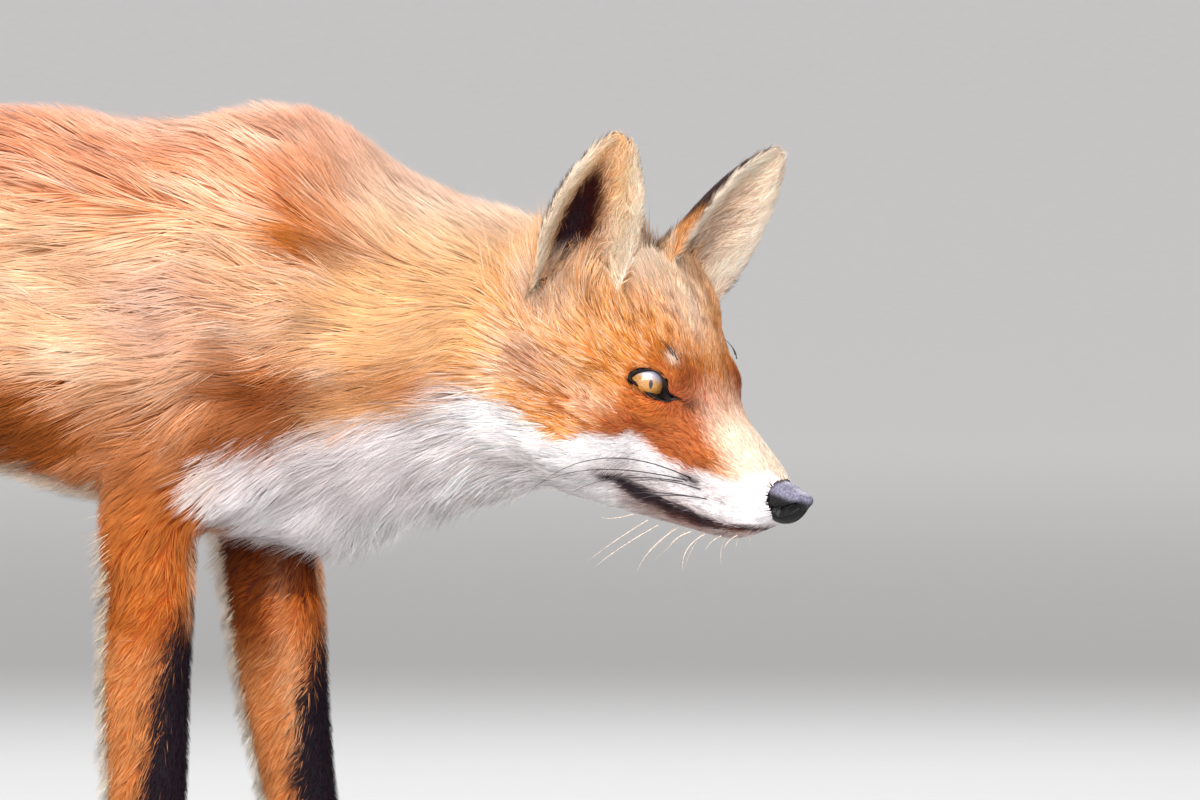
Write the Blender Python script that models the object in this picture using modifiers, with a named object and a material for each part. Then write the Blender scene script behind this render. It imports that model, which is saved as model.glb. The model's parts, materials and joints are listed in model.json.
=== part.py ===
"""A life-size red fox, standing with its head low and turned a little to its right.

The solids reach out to the tips of the coat. The body is modelled whole, from
lofted sections that are fused into one surface, and is then parted with thin
cuts into the pieces that a person would name. X runs forward along the body,
Y to the fox's left and Z up. All lengths are in metres.
"""

import math

import bmesh
import bpy
from mathutils import Matrix, Vector

MM = 0.001

# Driving dimensions.
CUT_GAP = 0.5 * MM  # between neighbouring pieces of the body
GAP_ENDS = (("_inner", -CUT_GAP / 2), ("_outer", CUT_GAP / 2))
FIT_GAP = 0.35 * MM  # round an eye, the nose and the foot of an ear
VOXEL = 2.6 * MM  # the grid on which the forms are fused
SECTION_POINTS = 28

# The head's own frame: its origin is midway between the eyes, its first axis
# points at the nose, the second to the fox's right and the third up.
HEAD_ORIGIN = Vector((0.2266, -0.025, 0.2517))
HEAD_TURN = math.radians(22)
HEAD_DROP = math.radians(24)

EYE_RADIUS = 8.4 * MM
EYE_CENTRE = Vector((-7.6, 20.2, -0.4)) * MM
EYE_OUTWARD = math.radians(40)

EAR_WALL = 5.6 * MM
EAR_TRIANGLES = 360
EAR_RIM = 0.6  # the wall at the rim, as a share of the wall behind the cup
EAR_HALF_WIDTH = 31.5 * MM  # along the curve of the cup
EAR_FOOT = {"right": Vector((-50, 38, 22)) * MM, "left": Vector((-51, 31, 22)) * MM}
EAR_TIP = {"right": Vector((-36, 56.5, 99)) * MM, "left": Vector((-32, 61, 94)) * MM}
EAR_OPENS = {"right": math.radians(36), "left": math.radians(-8)}  # outward from straight ahead

FOREPAW = {"right": Vector((0.006, -0.037, 0)), "left": Vector((0.062, 0.034, 0))}
HINDPAW = {"right": Vector((-0.312, -0.046, 0)), "left": Vector((-0.268, 0.046, 0))}
PAW_TOP = 0.037
FORELEG_TOP = 0.158

# Trunk and neck sections: place along X, top, bottom, half width, widest height,
# squareness of the back (2 is round).
TRUNK = (
    (-0.352, 0.322, 0.272, 0.016, 0.300, 2.0),
    (-0.335, 0.343, 0.243, 0.034, 0.298, 2.0),
    (-0.300, 0.360, 0.228, 0.049, 0.296, 2.1),
    (-0.250, 0.3680, 0.222, 0.054, 0.294, 2.2),
    (-0.195, 0.3700, 0.226, 0.053, 0.296, 2.2),
    (-0.140, 0.3700, 0.224, 0.057, 0.292, 2.2),
    (-0.085, 0.3695, 0.213, 0.061, 0.285, 2.2),
    (-0.040, 0.3675, 0.200, 0.063, 0.276, 2.2),
    (0.000, 0.3595, 0.188, 0.063, 0.268, 2.3),
    (0.016, 0.3655, 0.1855, 0.063, 0.266, 2.3),
    (0.036, 0.3705, 0.183, 0.063, 0.264, 2.3),
    (0.069, 0.3650, 0.1805, 0.0600, 0.262, 2.2),
    (0.097, 0.3440, 0.1890, 0.0560, 0.262, 2.1),
    (0.122, 0.3315, 0.1990, 0.0540, 0.262, 2.1),
    (0.150, 0.3245, 0.2030, 0.0530, 0.264, 2.1),
    (0.172, 0.3160, 0.2100, 0.0460, 0.266, 2.1),
)

# Head sections in the head's frame, in millimetres, with the same six numbers.
HEAD = (
    (68.5, -20.0, -29.0, 4.0, -25.0, 2.1),
    (66.5, -18.0, -31.0, 7.0, -25.5, 2.2),
    (62.0, -15.8, -37.3, 9.8, -26.5, 2.3),
    (56.0, -12.6, -44.4, 13.2, -29.0, 2.5),
    (48.0, -9.2, -49.6, 15.6, -32.0, 2.5),
    (40.0, -5.8, -51.8, 17.2, -33.0, 2.5),
    (30.0, -1.8, -53.8, 18.8, -32.0, 2.5),
    (20.0, 4.5, -55.8, 21.5, -30.0, 2.7),
    (11.0, 12.5, -57.8, 25.5, -26.0, 2.9),
    (2.0, 20.0, -59.6, 30.0, -23.0, 3.0),
    (-9.0, 27.5, -62.0, 37.0, -22.0, 3.0),
    (-24.0, 35.5, -64.5, 48.0, -22.0, 2.8),
    (-42.0, 40.5, -67.0, 55.0, -21.0, 2.5),
    (-60.0, 39.5, -70.0, 55.0, -20.0, 2.3),
    (-78.0, 34.0, -72.0, 46.0, -20.0, 2.1),
)


def frame_of(origin, forward, right, up):
    """The matrix whose columns are these axes, at this origin."""
    turn = Matrix((forward, right, up)).transposed()
    return Matrix.Translation(origin) @ turn.to_4x4()


def head_frame():
    forward = Vector(
        (
            math.cos(HEAD_DROP) * math.cos(HEAD_TURN),
            -math.cos(HEAD_DROP) * math.sin(HEAD_TURN),
            -math.sin(HEAD_DROP),
        )
    )
    right = Vector((-math.sin(HEAD_TURN), -math.cos(HEAD_TURN), 0))
    return frame_of(HEAD_ORIGIN, forward, right, right.cross(forward))


HEAD_FRAME = head_frame()
SIDES = {"right": 1, "left": -1}  # the sign along the head's second axis


def clear_scene():
    for obj in list(bpy.data.objects):
        bpy.data.objects.remove(obj, do_unlink=True)


def collection(name):
    made = bpy.data.collections.new(name)
    bpy.context.scene.collection.children.link(made)
    return made


def smooth_stations(stations, count, place_values=1):
    """`count` stations on the smooth curve through the given ones.

    The first `place_values` numbers of a station say where it is.
    """
    points = [Vector(s) for s in stations]
    places = [Vector((*p[:place_values], 0, 0)[:3]) for p in points]
    reach = [0.0]
    for before, after in zip(places, places[1:]):
        reach.append(reach[-1] + (after - before).length)
    slopes = []
    for i in range(len(points)):
        a, b = max(i - 1, 0), min(i + 1, len(points) - 1)
        slopes.append((points[b] - points[a]) / (reach[b] - reach[a]))
    made = []
    for step in range(count):
        at = reach[-1] * step / (count - 1)
        i = max(k for k in range(len(reach) - 1) if reach[k] <= at + 1e-12)
        span = reach[i + 1] - reach[i]
        t = (at - reach[i]) / span
        made.append(
            points[i] * (2 * t**3 - 3 * t**2 + 1)
            + points[i + 1] * (3 * t**2 - 2 * t**3)
            + slopes[i] * span * (t**3 - 2 * t**2 + t)
            + slopes[i + 1] * span * (t**3 - t**2)
        )
    return made


def oval(half_width, top, bottom, widest, squareness=2.0):
    """Points (across, up) round a section whose upper half is squarer than its lower half."""
    ring = []
    for k in range(SECTION_POINTS):
        turn = 2 * math.pi * k / SECTION_POINTS
        c, s = math.cos(turn), math.sin(turn)
        power = 2 / squareness if s > 0 else 1
        across = half_width * math.copysign(abs(c) ** power, c)
        height = top - widest if s > 0 else widest - bottom
        ring.append((across, widest + math.copysign(height * abs(s) ** power, s)))
    return ring


def loft(name, rings):
    """A closed mesh object through rings of points, each end drawn to its middle."""
    shape = bmesh.new()
    rows = [[shape.verts.new(p) for p in ring] for ring in rings]
    for near, far in zip(rows, rows[1:]):
        for k in range(len(near)):
            after = (k + 1) % len(near)
            shape.faces.new((near[k], near[after], far[after], far[k]))
    shape.faces.new(rows[0])
    shape.faces.new(rows[-1])
    bmesh.ops.recalc_face_normals(shape, faces=shape.faces)
    return as_object(name, shape)


def as_object(name, shape):
    mesh = bpy.data.meshes.new(name)
    shape.to_mesh(mesh)
    shape.free()
    made = bpy.data.objects.new(name, mesh)
    FORMS.objects.link(made)
    return made


def section_loft(name, stations, count, frame=None, scale=1.0):
    """A loft of upright ovals along a frame's first axis."""
    rings = []
    for at, top, bottom, half_width, widest, squareness in smooth_stations(stations, count):
        ring = oval(half_width, top, bottom, widest, squareness)
        rings.append([Vector((at, y, z)) * scale for y, z in ring])
    if frame:
        rings = [[frame @ p for p in ring] for ring in rings]
    return loft(name, rings)


def limb_loft(name, stations, count):
    """A loft round a path. A station is x, y, z, half depth fore and aft, half width."""
    points = smooth_stations(stations, count, place_values=3)
    rings = []
    for i, station in enumerate(points):
        centre = Vector(station[:3])
        before = Vector(points[max(i - 1, 0)][:3])
        after = Vector(points[min(i + 1, count - 1)][:3])
        along = (after - before).normalized()
        side = Vector((0, 1, 0))
        depth = along.cross(side).normalized()
        side = depth.cross(along).normalized()
        ring = oval(1, 1, -1, 0)
        rings.append([centre + depth * a * station[3] + side * b * station[4] for a, b in ring])
    return loft(name, rings)


def egg(name, centre, radii, frame=None, tilt=0.0):
    """An ellipsoid, tilted nose-down about its frame's second axis."""
    shape = bmesh.new()
    bmesh.ops.create_uvsphere(shape, u_segments=24, v_segments=14, radius=1)
    place = Matrix.Translation(Vector(centre)) @ Matrix.Rotation(tilt, 4, "Y")
    place = place @ Matrix.Diagonal((*radii, 1))
    bmesh.ops.transform(shape, matrix=(frame or Matrix.Identity(4)) @ place, verts=shape.verts)
    bmesh.ops.recalc_face_normals(shape, faces=shape.faces)
    return as_object(name, shape)


def trunk_forms():
    """Barrel and neck, and the muscle that shows through the coat."""
    made = [section_loft("barrel", TRUNK, 72)]
    for side in (-1, 1):
        made.append(egg("shoulder_blade", (0.036, side * 0.024, 0.316), (0.034, 0.023, 0.050), tilt=-0.22))
        made.append(egg("shoulder", (0.052, side * 0.040, 0.262), (0.044, 0.023, 0.056), tilt=-0.35))
        made.append(egg("upper_arm", (0.018, side * 0.040, 0.224), (0.044, 0.022, 0.032), tilt=0.45))
        made.append(egg("haunch", (-0.270, side * 0.030, 0.298), (0.064, 0.031, 0.054), tilt=0.1))
    made.append(egg("breast", (0.064, 0, 0.208), (0.038, 0.036, 0.030), tilt=0.5))
    return made


def head_forms():
    made = [section_loft("skull", HEAD, 60, HEAD_FRAME, MM)]
    for side in SIDES.values():
        for name, centre, radii, tilt in (
            ("brow", (3, 17.0, 5.0), (15, 10, 8.7), 0.55),
            ("cheek", (-27, 29, -26), (34, 23, 29), 0.0),
            ("lip", (41, 8.6, -36.5), (24, 8.6, 9.0), -0.17),
            ("ear_root", (-38, 32, 18), (25, 15, 18), 0.30),
        ):
            place = (Vector(centre) * MM) * Vector((1, side, 1))
            made.append(egg(name, place, [r * MM for r in radii], HEAD_FRAME, tilt))
    return made


def foreleg_form(side):
    paw, sign = FOREPAW[side], -SIDES[side]
    if side == "right":
        carpus = ((0.001, 0.052, 0.0150), (-0.001, 0.068, 0.0172), (-0.001, 0.085, 0.0186))
        shin = ((-0.001, 0.119, 0.0197), (0.001, 0.160, 0.0203), (0.001, 0.192, 0.0225))
    else:
        carpus = ((0.053, 0.052, 0.0145), (0.0485, 0.068, 0.0162), (0.045, 0.085, 0.0172))
        shin = ((0.0395, 0.119, 0.0202), (0.0355, 0.160, 0.0225), (0.0320, 0.192, 0.0240))
    outward = ((0.0, 0.0), (0.0, 0.0), (0.001, 0.0005), (0.002, 0.001), (0.003, 0.003), (0.004, 0.005))
    stations = [
        (paw.x - 0.002, paw.y, 0.012, 0.0150, 0.0145),
        (paw.x - 0.004, paw.y, 0.032, 0.0140, 0.0140),
    ]
    for (x, z, depth), (out, wide) in zip((*carpus, *shin), outward):
        stations.append((x, paw.y + sign * out, z, depth, 0.0140 + wide))
    stations.append((stations[-1][0] + 0.006, paw.y + sign * 0.002, 0.225, 0.0270, 0.0200))
    return limb_loft("foreleg_form", stations, 40)


def hindleg_form(side):
    paw, sign = HINDPAW[side], -SIDES[side]
    swing = (paw.x + 0.295) * 0.85  # the lower leg follows the paw, the hip stays
    stations = (
        (paw.x - 0.003, paw.y, 0.012, 0.0145, 0.0140),
        (paw.x - 0.010, paw.y, 0.034, 0.0132, 0.0130),
        (-0.315 + swing, paw.y, 0.062, 0.0128, 0.0124),
        (-0.325 + swing, paw.y, 0.092, 0.0138, 0.0124),
        (-0.328 + swing, paw.y, 0.117, 0.0165, 0.0140),
        (-0.309 + swing * 0.9, paw.y, 0.142, 0.0195, 0.0165),
        (-0.282 + swing * 0.7, paw.y, 0.172, 0.0265, 0.0205),
        (-0.258 + swing * 0.5, paw.y + sign * 0.001, 0.205, 0.0380, 0.0250),
        (-0.250 + swing * 0.25, paw.y - sign * 0.002, 0.238, 0.0480, 0.0280),
        (-0.262, paw.y - sign * 0.006, 0.275, 0.0560, 0.0290),
        (-0.276, paw.y - sign * 0.014, 0.312, 0.0480, 0.0260),
    )
    return limb_loft("hindleg_form", stations, 48)


def paw_forms(paw, length, width):
    """A compact furred foot: its ball and four toes."""
    made = [egg("ball", paw + Vector((0.001, 0, 0.013)), (length * 0.42, width * 0.48, 0.0155))]
    for forward, across, size in ((0.52, 0.20, 1.0), (0.28, 0.43, 0.92)):
        for side in (-1, 1):
            centre = paw + Vector((length * forward, side * width * across, 0.0082))
            made.append(egg("toe", centre, (0.0135 * size, 0.0064 * size, 0.0098 * size), tilt=0.12))
    return made


def tail_form():
    """The brush: a path with its depth and width, full almost to its rounded end."""
    stations = (
        (-0.318, 0.000, 0.334, 0.0200, 0.0210),
        (-0.352, 0.000, 0.313, 0.0235, 0.0235),
        (-0.384, 0.002, 0.279, 0.0300, 0.0290),
        (-0.408, 0.005, 0.238, 0.0360, 0.0350),
        (-0.428, 0.009, 0.192, 0.0400, 0.0390),
        (-0.450, 0.013, 0.146, 0.0410, 0.0400),
        (-0.478, 0.017, 0.104, 0.0385, 0.0375),
        (-0.508, 0.020, 0.072, 0.0315, 0.0305),
        (-0.536, 0.022, 0.051, 0.0200, 0.0195),
        (-0.551, 0.023, 0.042, 0.0070, 0.0070),
    )
    return limb_loft("tail_form", stations, 52)


def evaluated_mesh(obj):
    graph = bpy.context.evaluated_depsgraph_get()
    return bpy.data.meshes.new_from_object(obj.evaluated_get(graph))


def settle(obj):
    """Makes the object's modifiers part of its mesh."""
    mesh = evaluated_mesh(obj)
    obj.modifiers.clear()
    obj.data = mesh


def joined(name, forms):
    shape = bmesh.new()
    for form in forms:
        shape.from_mesh(form.data)
        bpy.data.objects.remove(form)
    return as_object(name, shape)


def on_face(place):
    return place.x > 0.12 and (HEAD_FRAME.inverted() @ place).x > -22 * MM


def on_head(place):
    return place.x > 0.12 and (HEAD_FRAME.inverted() @ place).x > -66 * MM and not on_face(place)


def on_paw(place):
    return place.z < PAW_TOP + 3 * MM and place.x > -0.36


def on_leg(place):
    return PAW_TOP + 3 * MM <= place.z < 0.175 and place.x > -0.37


def on_rest(place):
    return not (on_face(place) or on_head(place) or on_paw(place) or on_leg(place))


def thin_out(body, inside, triangles):
    """Leaves about this many triangles where `inside` holds, and every face elsewhere."""
    group = body.vertex_groups.new(name="thinned")
    chosen = [v.index for v in body.data.vertices if inside(v.co)]
    group.add(chosen, 1.0, "REPLACE")
    body.data.calc_loop_triangles()
    chosen = set(chosen)
    now = sum(all(v in chosen for v in t.vertices) for t in body.data.loop_triangles)
    total = len(body.data.loop_triangles)
    thin = body.modifiers.new("thin", "DECIMATE")
    thin.vertex_group = "thinned"
    thin.ratio = min((total - now + triangles) / total, 1.0)
    settle(body)
    body.vertex_groups.clear()


def fused_body():
    forms = trunk_forms() + head_forms() + [tail_form()]
    for side in SIDES:
        forms += [foreleg_form(side), hindleg_form(side)]
        forms += paw_forms(FOREPAW[side], 0.036, 0.035)
        forms += paw_forms(HINDPAW[side], 0.035, 0.032)
    body = joined("fox_whole", forms)
    remesh = body.modifiers.new("fuse", "REMESH")
    remesh.mode = "VOXEL"
    remesh.voxel_size = VOXEL
    soften = body.modifiers.new("soften", "SMOOTH")
    soften.factor = 0.5
    soften.iterations = 7
    settle(body)
    for inside, triangles in BODY_TRIANGLES:
        thin_out(body, inside, triangles)
    return body


def as_cutter(obj):
    """Moves a shape to the cutters, which no render shows."""
    CUTTERS.objects.link(obj)
    FORMS.objects.unlink(obj)
    obj.hide_render = True
    obj.display_type = "WIRE"
    return obj


def cutter(name, shape):
    return as_cutter(as_object(name, shape))


def block(name, low, high, frame=None, grow=0.0):
    """A box cutter between two corners of a frame, grown on every face."""
    low, high = Vector(low) - Vector((grow,) * 3), Vector(high) + Vector((grow,) * 3)
    shape = bmesh.new()
    bmesh.ops.create_cube(shape, size=1)
    place = Matrix.Translation((low + high) / 2) @ Matrix.Diagonal((*(high - low), 1))
    bmesh.ops.transform(shape, matrix=(frame or Matrix.Identity(4)) @ place, verts=shape.verts)
    bmesh.ops.recalc_face_normals(shape, faces=shape.faces)
    return cutter(name, shape)


def wedge(name, low_x, high_x, outline, grow=0.0):
    """A cutter with a convex outline (y, z) in any upright plane across X, grown on every face."""
    corners = [Vector(p) for p in outline]
    middle = sum(corners, Vector((0, 0))) / len(corners)
    grown = []
    for i, corner in enumerate(corners):
        outward = []
        for other in (corners[i - 1], corners[(i + 1) % len(corners)]):
            edge = (other - corner).normalized()
            normal = Vector((edge.y, -edge.x))
            outward.append(normal if normal.dot(corner - middle) > 0 else -normal)
        mitre = (outward[0] + outward[1]) / (1 + outward[0].dot(outward[1]))
        grown.append(corner + mitre * grow)
    ends = [[Vector((x, *p)) for p in grown] for x in (low_x - grow, high_x + grow)]
    return as_cutter(loft(name, ends))


def combine(obj, other, operation):
    step = obj.modifiers.new(operation.lower(), "BOOLEAN")
    step.operation = operation
    step.object = other
    settle(obj)


def part_off(whole, name, inner, outer):
    """Parts what lies in one cutter from the whole; the other cutter is a little larger."""
    piece = bpy.data.objects.new(name, whole.data.copy())
    FORMS.objects.link(piece)
    combine(piece, inner, "INTERSECT")
    combine(whole, outer, "DIFFERENCE")
    return piece


def part_by_box(whole, name, low, high, frame=None):
    inner, outer = (block(name + end, low, high, frame, grow) for end, grow in GAP_ENDS)
    return part_off(whole, name, inner, outer)


def part_by_wedge(whole, name, low_x, high_x, outline):
    inner, outer = (wedge(name + end, low_x, high_x, outline, grow) for end, grow in GAP_ENDS)
    return part_off(whole, name, inner, outer)


def leaning_frame(origin, lean, axis="X"):
    return Matrix.Translation(Vector(origin)) @ Matrix.Rotation(lean, 4, axis)


def eyeball_frame(side):
    """Origin at the eyeball's centre, first axis out through the pupil."""
    sign = SIDES[side]
    centre = EYE_CENTRE * Vector((1, sign, 1))
    outward = Vector((math.cos(EYE_OUTWARD), sign * math.sin(EYE_OUTWARD), 0.04)).normalized()
    # The lids slant: the inner corner lies lower and nearer the nose.
    along = Vector((math.sin(EYE_OUTWARD), -sign * math.cos(EYE_OUTWARD), -0.06))
    along = (along - outward * along.dot(outward)).normalized()
    turn = HEAD_FRAME.to_3x3()
    axes = [turn @ v for v in (outward, along, outward.cross(along))]
    return frame_of(HEAD_FRAME @ centre, *axes)


def ball(name, frame, radii, centre=(0, 0, 0), segments=12, rings=8):
    shape = bmesh.new()
    bmesh.ops.create_uvsphere(shape, u_segments=segments, v_segments=rings, radius=1)
    place = frame @ Matrix.Translation(Vector(centre)) @ Matrix.Diagonal((*radii, 1))
    bmesh.ops.transform(shape, matrix=place, verts=shape.verts)
    bmesh.ops.recalc_face_normals(shape, faces=shape.faces)
    return as_object(name, shape)


def eye(body, side):
    """An eyeball in its socket, seen through an almond opening."""
    frame = eyeball_frame(side)
    socket = EYE_RADIUS + FIT_GAP
    combine(body, as_cutter(ball("socket_" + side, frame, (socket,) * 3)), "DIFFERENCE")
    opening = ball("lids_" + side, frame, (12 * MM, 9.6 * MM, 5.6 * MM), (5.5 * MM, 0, 0))
    combine(body, as_cutter(opening), "DIFFERENCE")
    return ball("eye_" + side, frame, (EYE_RADIUS,) * 3)


def nose(body):
    """The bare pad on the tip of the muzzle, with its nostrils."""
    centre, radii = Vector((65.0, 0, -23.3)) * MM, Vector((11.3, 9.4, 8.3)) * MM
    room = ball("nose_room", HEAD_FRAME, radii + Vector((FIT_GAP,) * 3), centre, 14, 8)
    combine(body, as_cutter(room), "DIFFERENCE")
    pad = ball("nose", HEAD_FRAME, radii, centre, 14, 8)
    for sign in SIDES.values():
        place = Vector((74.5, sign * 5.2, -23.5)) * MM
        hole = ball("nostril", HEAD_FRAME, (4.2 * MM, 2.2 * MM, 2.4 * MM), place, 8, 6)
        combine(pad, as_cutter(hole), "DIFFERENCE")
    return pad


def ear_sheet(side):
    """The middle of the ear's wall: a leaf rolled into a cup, nearly closed at its foot."""
    sign, opens = SIDES[side], EAR_OPENS[side]
    mirror = Vector((1, sign, 1))
    foot, tip = EAR_FOOT[side] * mirror, EAR_TIP[side] * mirror
    along = (tip - foot).normalized()
    facing = Vector((math.cos(opens), sign * math.sin(opens), 0))
    facing = (facing - along * facing.dot(along)).normalized()
    across = along.cross(facing)
    shape = bmesh.new()
    rows, columns = 9, 7
    bmesh.ops.create_grid(shape, x_segments=columns - 1, y_segments=rows - 1, size=1)
    rim = []
    for vertex in shape.verts:
        t, s = vertex.co.x, 0.975 * (vertex.co.y + 1) / 2
        taper = max((s - 0.15) / 0.85, 0)
        half = EAR_HALF_WIDTH * (1 - taper**1.9) ** 0.8
        roll = math.radians(98) * (1 - s) + math.radians(40) * s
        radius = half / roll
        cup = facing * radius * (1 - math.cos(t * roll)) + across * radius * math.sin(t * roll)
        bow = facing * -17 * MM * s * (1 - s)
        vertex.co = HEAD_FRAME @ (foot.lerp(tip, s) + cup + bow)
        rim.append(max(abs(t), s) ** 3)
    made = as_object("ear_" + side, shape)
    group = made.vertex_groups.new(name="wall")
    for index, edge in enumerate(rim):
        group.add([index], 1 - (1 - EAR_RIM) * edge, "REPLACE")
    return made


def ear(body, side):
    made = ear_sheet(side)
    wall = made.modifiers.new("wall", "SOLIDIFY")
    wall.thickness = EAR_WALL
    wall.offset = 0
    wall.use_even_offset = True
    wall.vertex_group = "wall"
    soft = made.modifiers.new("soft", "SUBSURF")
    soft.levels = soft.render_levels = 1
    settle(made)
    face_out(made)
    room = bpy.data.objects.new("head_room", body.data.copy())
    FORMS.objects.link(room)
    swell = room.modifiers.new("swell", "DISPLACE")
    swell.strength = FIT_GAP
    swell.mid_level = 0
    settle(room)
    combine(made, as_cutter(room), "DIFFERENCE")
    keep_largest(made)
    thin = made.modifiers.new("thin", "DECIMATE")
    made.data.calc_loop_triangles()
    thin.ratio = EAR_TRIANGLES / len(made.data.loop_triangles)
    settle(made)
    return made


def face_out(obj):
    shape = bmesh.new()
    shape.from_mesh(obj.data)
    bmesh.ops.recalc_face_normals(shape, faces=shape.faces)
    shape.to_mesh(obj.data)
    shape.free()


def keep_largest(obj):
    """Drops the loose crumbs that a cut can leave beside the piece."""
    shape = bmesh.new()
    shape.from_mesh(obj.data)
    left, bodies = set(shape.verts), []
    while left:
        grown, edge = set(), [next(iter(left))]
        while edge:
            vertex = edge.pop()
            if vertex in grown:
                continue
            grown.add(vertex)
            edge += [e.other_vert(vertex) for e in vertex.link_edges]
        left -= grown
        bodies.append(grown)
    largest = max(bodies, key=len)
    crumbs = [v for v in shape.verts if v not in largest]
    bmesh.ops.delete(shape, geom=crumbs, context="VERTS")
    shape.to_mesh(obj.data)
    shape.free()


def claws(foot, paw, length, width):
    """Four short claws, one from the front of each toe."""
    for forward, across in ((0.52, 0.20), (0.28, 0.43)):
        for side in (-1, 1):
            shape = bmesh.new()
            bmesh.ops.create_cone(
                shape, cap_ends=True, segments=6, radius1=1.7 * MM, radius2=0.35 * MM, depth=9 * MM
            )
            centre = paw + Vector((length * forward + 0.0135, side * width * across, 0.0068))
            turn = Matrix.Rotation(math.radians(110), 4, "Y")
            bmesh.ops.transform(shape, matrix=Matrix.Translation(centre) @ turn, verts=shape.verts)
            combine(foot, cutter("claw", shape), "UNION")


def material(name, colour, roughness):
    made = bpy.data.materials.new(name)
    made.use_nodes = True
    shader = made.node_tree.nodes["Principled BSDF"]
    shader.inputs["Base Color"].default_value = (*colour, 1)
    shader.inputs["Roughness"].default_value = roughness
    shader.inputs["Metallic"].default_value = 0
    return made


def finish(pieces, materials):
    """Colours each piece, sets its origin at its middle and stands the fox on its box's middle."""
    corners = [v.co for piece in pieces.values() for v in piece.data.vertices]
    low = Vector([min(c[k] for c in corners) for k in range(3)])
    high = Vector([max(c[k] for c in corners) for k in range(3)])
    stand = bpy.data.objects.new("fox", None)
    stand.location = (-(low.x + high.x) / 2, -(low.y + high.y) / 2, -low.z)
    PARTS.objects.link(stand)
    for name, piece in pieces.items():
        piece.name = name
        points = [v.co for v in piece.data.vertices]
        middle = sum(points, Vector()) / len(points)
        piece.data.transform(Matrix.Translation(-middle))
        piece.location = middle
        piece.parent = stand
        piece.data.materials.clear()
        piece.data.materials.append(materials[name])
        piece.data.shade_smooth()
        piece.data.set_sharp_from_angle(angle=math.radians(40))
        PARTS.objects.link(piece)
        FORMS.objects.unlink(piece)


def main():
    body = fused_body()
    combine(body, block("floor", (-1, -1, -0.1), (1, 1, 0)), "DIFFERENCE")
    pieces = {}
    for side in SIDES:
        pieces["eye_" + side] = eye(body, side)
    pieces["nose"] = nose(body)
    for side in SIDES:
        pieces["ear_" + side] = ear(body, side)

    # Each box is given by its low and high corners in its own frame.
    behind_head = HEAD_FRAME @ Matrix.Translation((-60 * MM, 0, 0))
    pieces["head"] = part_by_box(body, "head", (0, -0.12, -0.12), (0.18, 0.12, 0.09), behind_head)
    lip_line = HEAD_FRAME @ Matrix.Translation(Vector((-3, 0, -45.8)) * MM) @ Matrix.Rotation(-0.10, 4, "Y")
    below_lips = (0, -0.06, -0.06), (0.12, 0.06, 0)
    pieces["lower_jaw"] = part_by_box(pieces["head"], "lower_jaw", *below_lips, lip_line)
    neck_foot = leaning_frame((0.094, 0, 0.262), -0.2, "Y")
    pieces["neck"] = part_by_box(body, "neck", (0, -0.12, -0.16), (0.16, 0.12, 0.16), neck_foot)
    foot = (-0.6, -0.2, -0.05), (0.3, 0.2, PAW_TOP)
    for side in SIDES:
        out = -SIDES[side]
        near, far = sorted((0.007 * out, 0.12 * out))
        fore = part_by_box(body, "foreleg_" + side, (-0.1, near, -0.05), (0.13, far, FORELEG_TOP))
        pieces["forepaw_" + side] = part_by_box(fore, "forepaw_" + side, *foot)
        pieces["foreleg_" + side] = fore
        arm = [(out * y, z) for y, z in ((0.007, 0.1), (0.007, 0.196), (0.120, 0.268), (0.120, 0.1))]
        pieces["upper_arm_" + side] = part_by_wedge(body, "upper_arm_" + side, -0.040, 0.082, arm)
        rump = [(out * y, z) for y, z in ((0.007, -0.05), (0.007, 0.232), (0.120, 0.330), (0.120, -0.05))]
        hind = part_by_wedge(body, "thigh_" + side, -0.365, -0.190, rump)
        pieces["hindpaw_" + side] = part_by_box(hind, "hindpaw_" + side, *foot)
        knee = leaning_frame((-0.25, 0, 0.178), -0.35, "Y")
        lower = part_by_box(hind, "hindleg_" + side, (-0.3, -0.2, -0.3), (0.3, 0.2, 0), knee)
        pieces["thigh_" + side] = hind
        pieces["hindleg_" + side] = lower
        claws(pieces["forepaw_" + side], FOREPAW[side], 0.036, 0.035)
        claws(pieces["hindpaw_" + side], HINDPAW[side], 0.035, 0.032)
    tail_root = leaning_frame((-0.352, 0, 0.318), -0.25, "Y")
    pieces["tail"] = part_by_box(body, "tail", (-0.4, -0.12, -0.4), (0, 0.12, 0.1), tail_root)
    white_tip = leaning_frame((-0.486, 0, 0.094), -0.85, "Y")
    beyond = (-0.2, -0.12, -0.12), (0, 0.12, 0.12)
    pieces["tail_tip"] = part_by_box(pieces["tail"], "tail_tip", *beyond, white_tip)
    pieces["trunk"] = body
    for piece in pieces.values():
        keep_largest(piece)

    coat = material("coat_orange", (0.62, 0.29, 0.11), 0.75)
    pale = material("coat_white", (0.82, 0.78, 0.74), 0.75)
    dark = material("coat_black", (0.030, 0.022, 0.025), 0.7)
    horn = material("nose_leather", (0.020, 0.018, 0.024), 0.35)
    iris = material("eye_amber", (0.48, 0.27, 0.08), 0.08)
    worn = {"lower_jaw": pale, "tail_tip": pale, "nose": horn}
    for name in pieces:
        if name.startswith("eye"):
            worn[name] = iris
        if "paw" in name:
            worn[name] = dark
    finish(pieces, {name: worn.get(name, coat) for name in pieces})


# How many triangles each region of the fused body keeps.
BODY_TRIANGLES = (
    (on_face, 940),
    (on_head, 220),
    (on_paw, 580),
    (on_leg, 400),
    (on_rest, 520),
)

clear_scene()
FORMS = collection("forms")
CUTTERS = collection("cutters")
PARTS = collection("red_fox")
main()
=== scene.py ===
"""A still, life-size red fox: skin, coat, eyes, nose, whiskers, pads and claws round its solids."""

import json
import math

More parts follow.
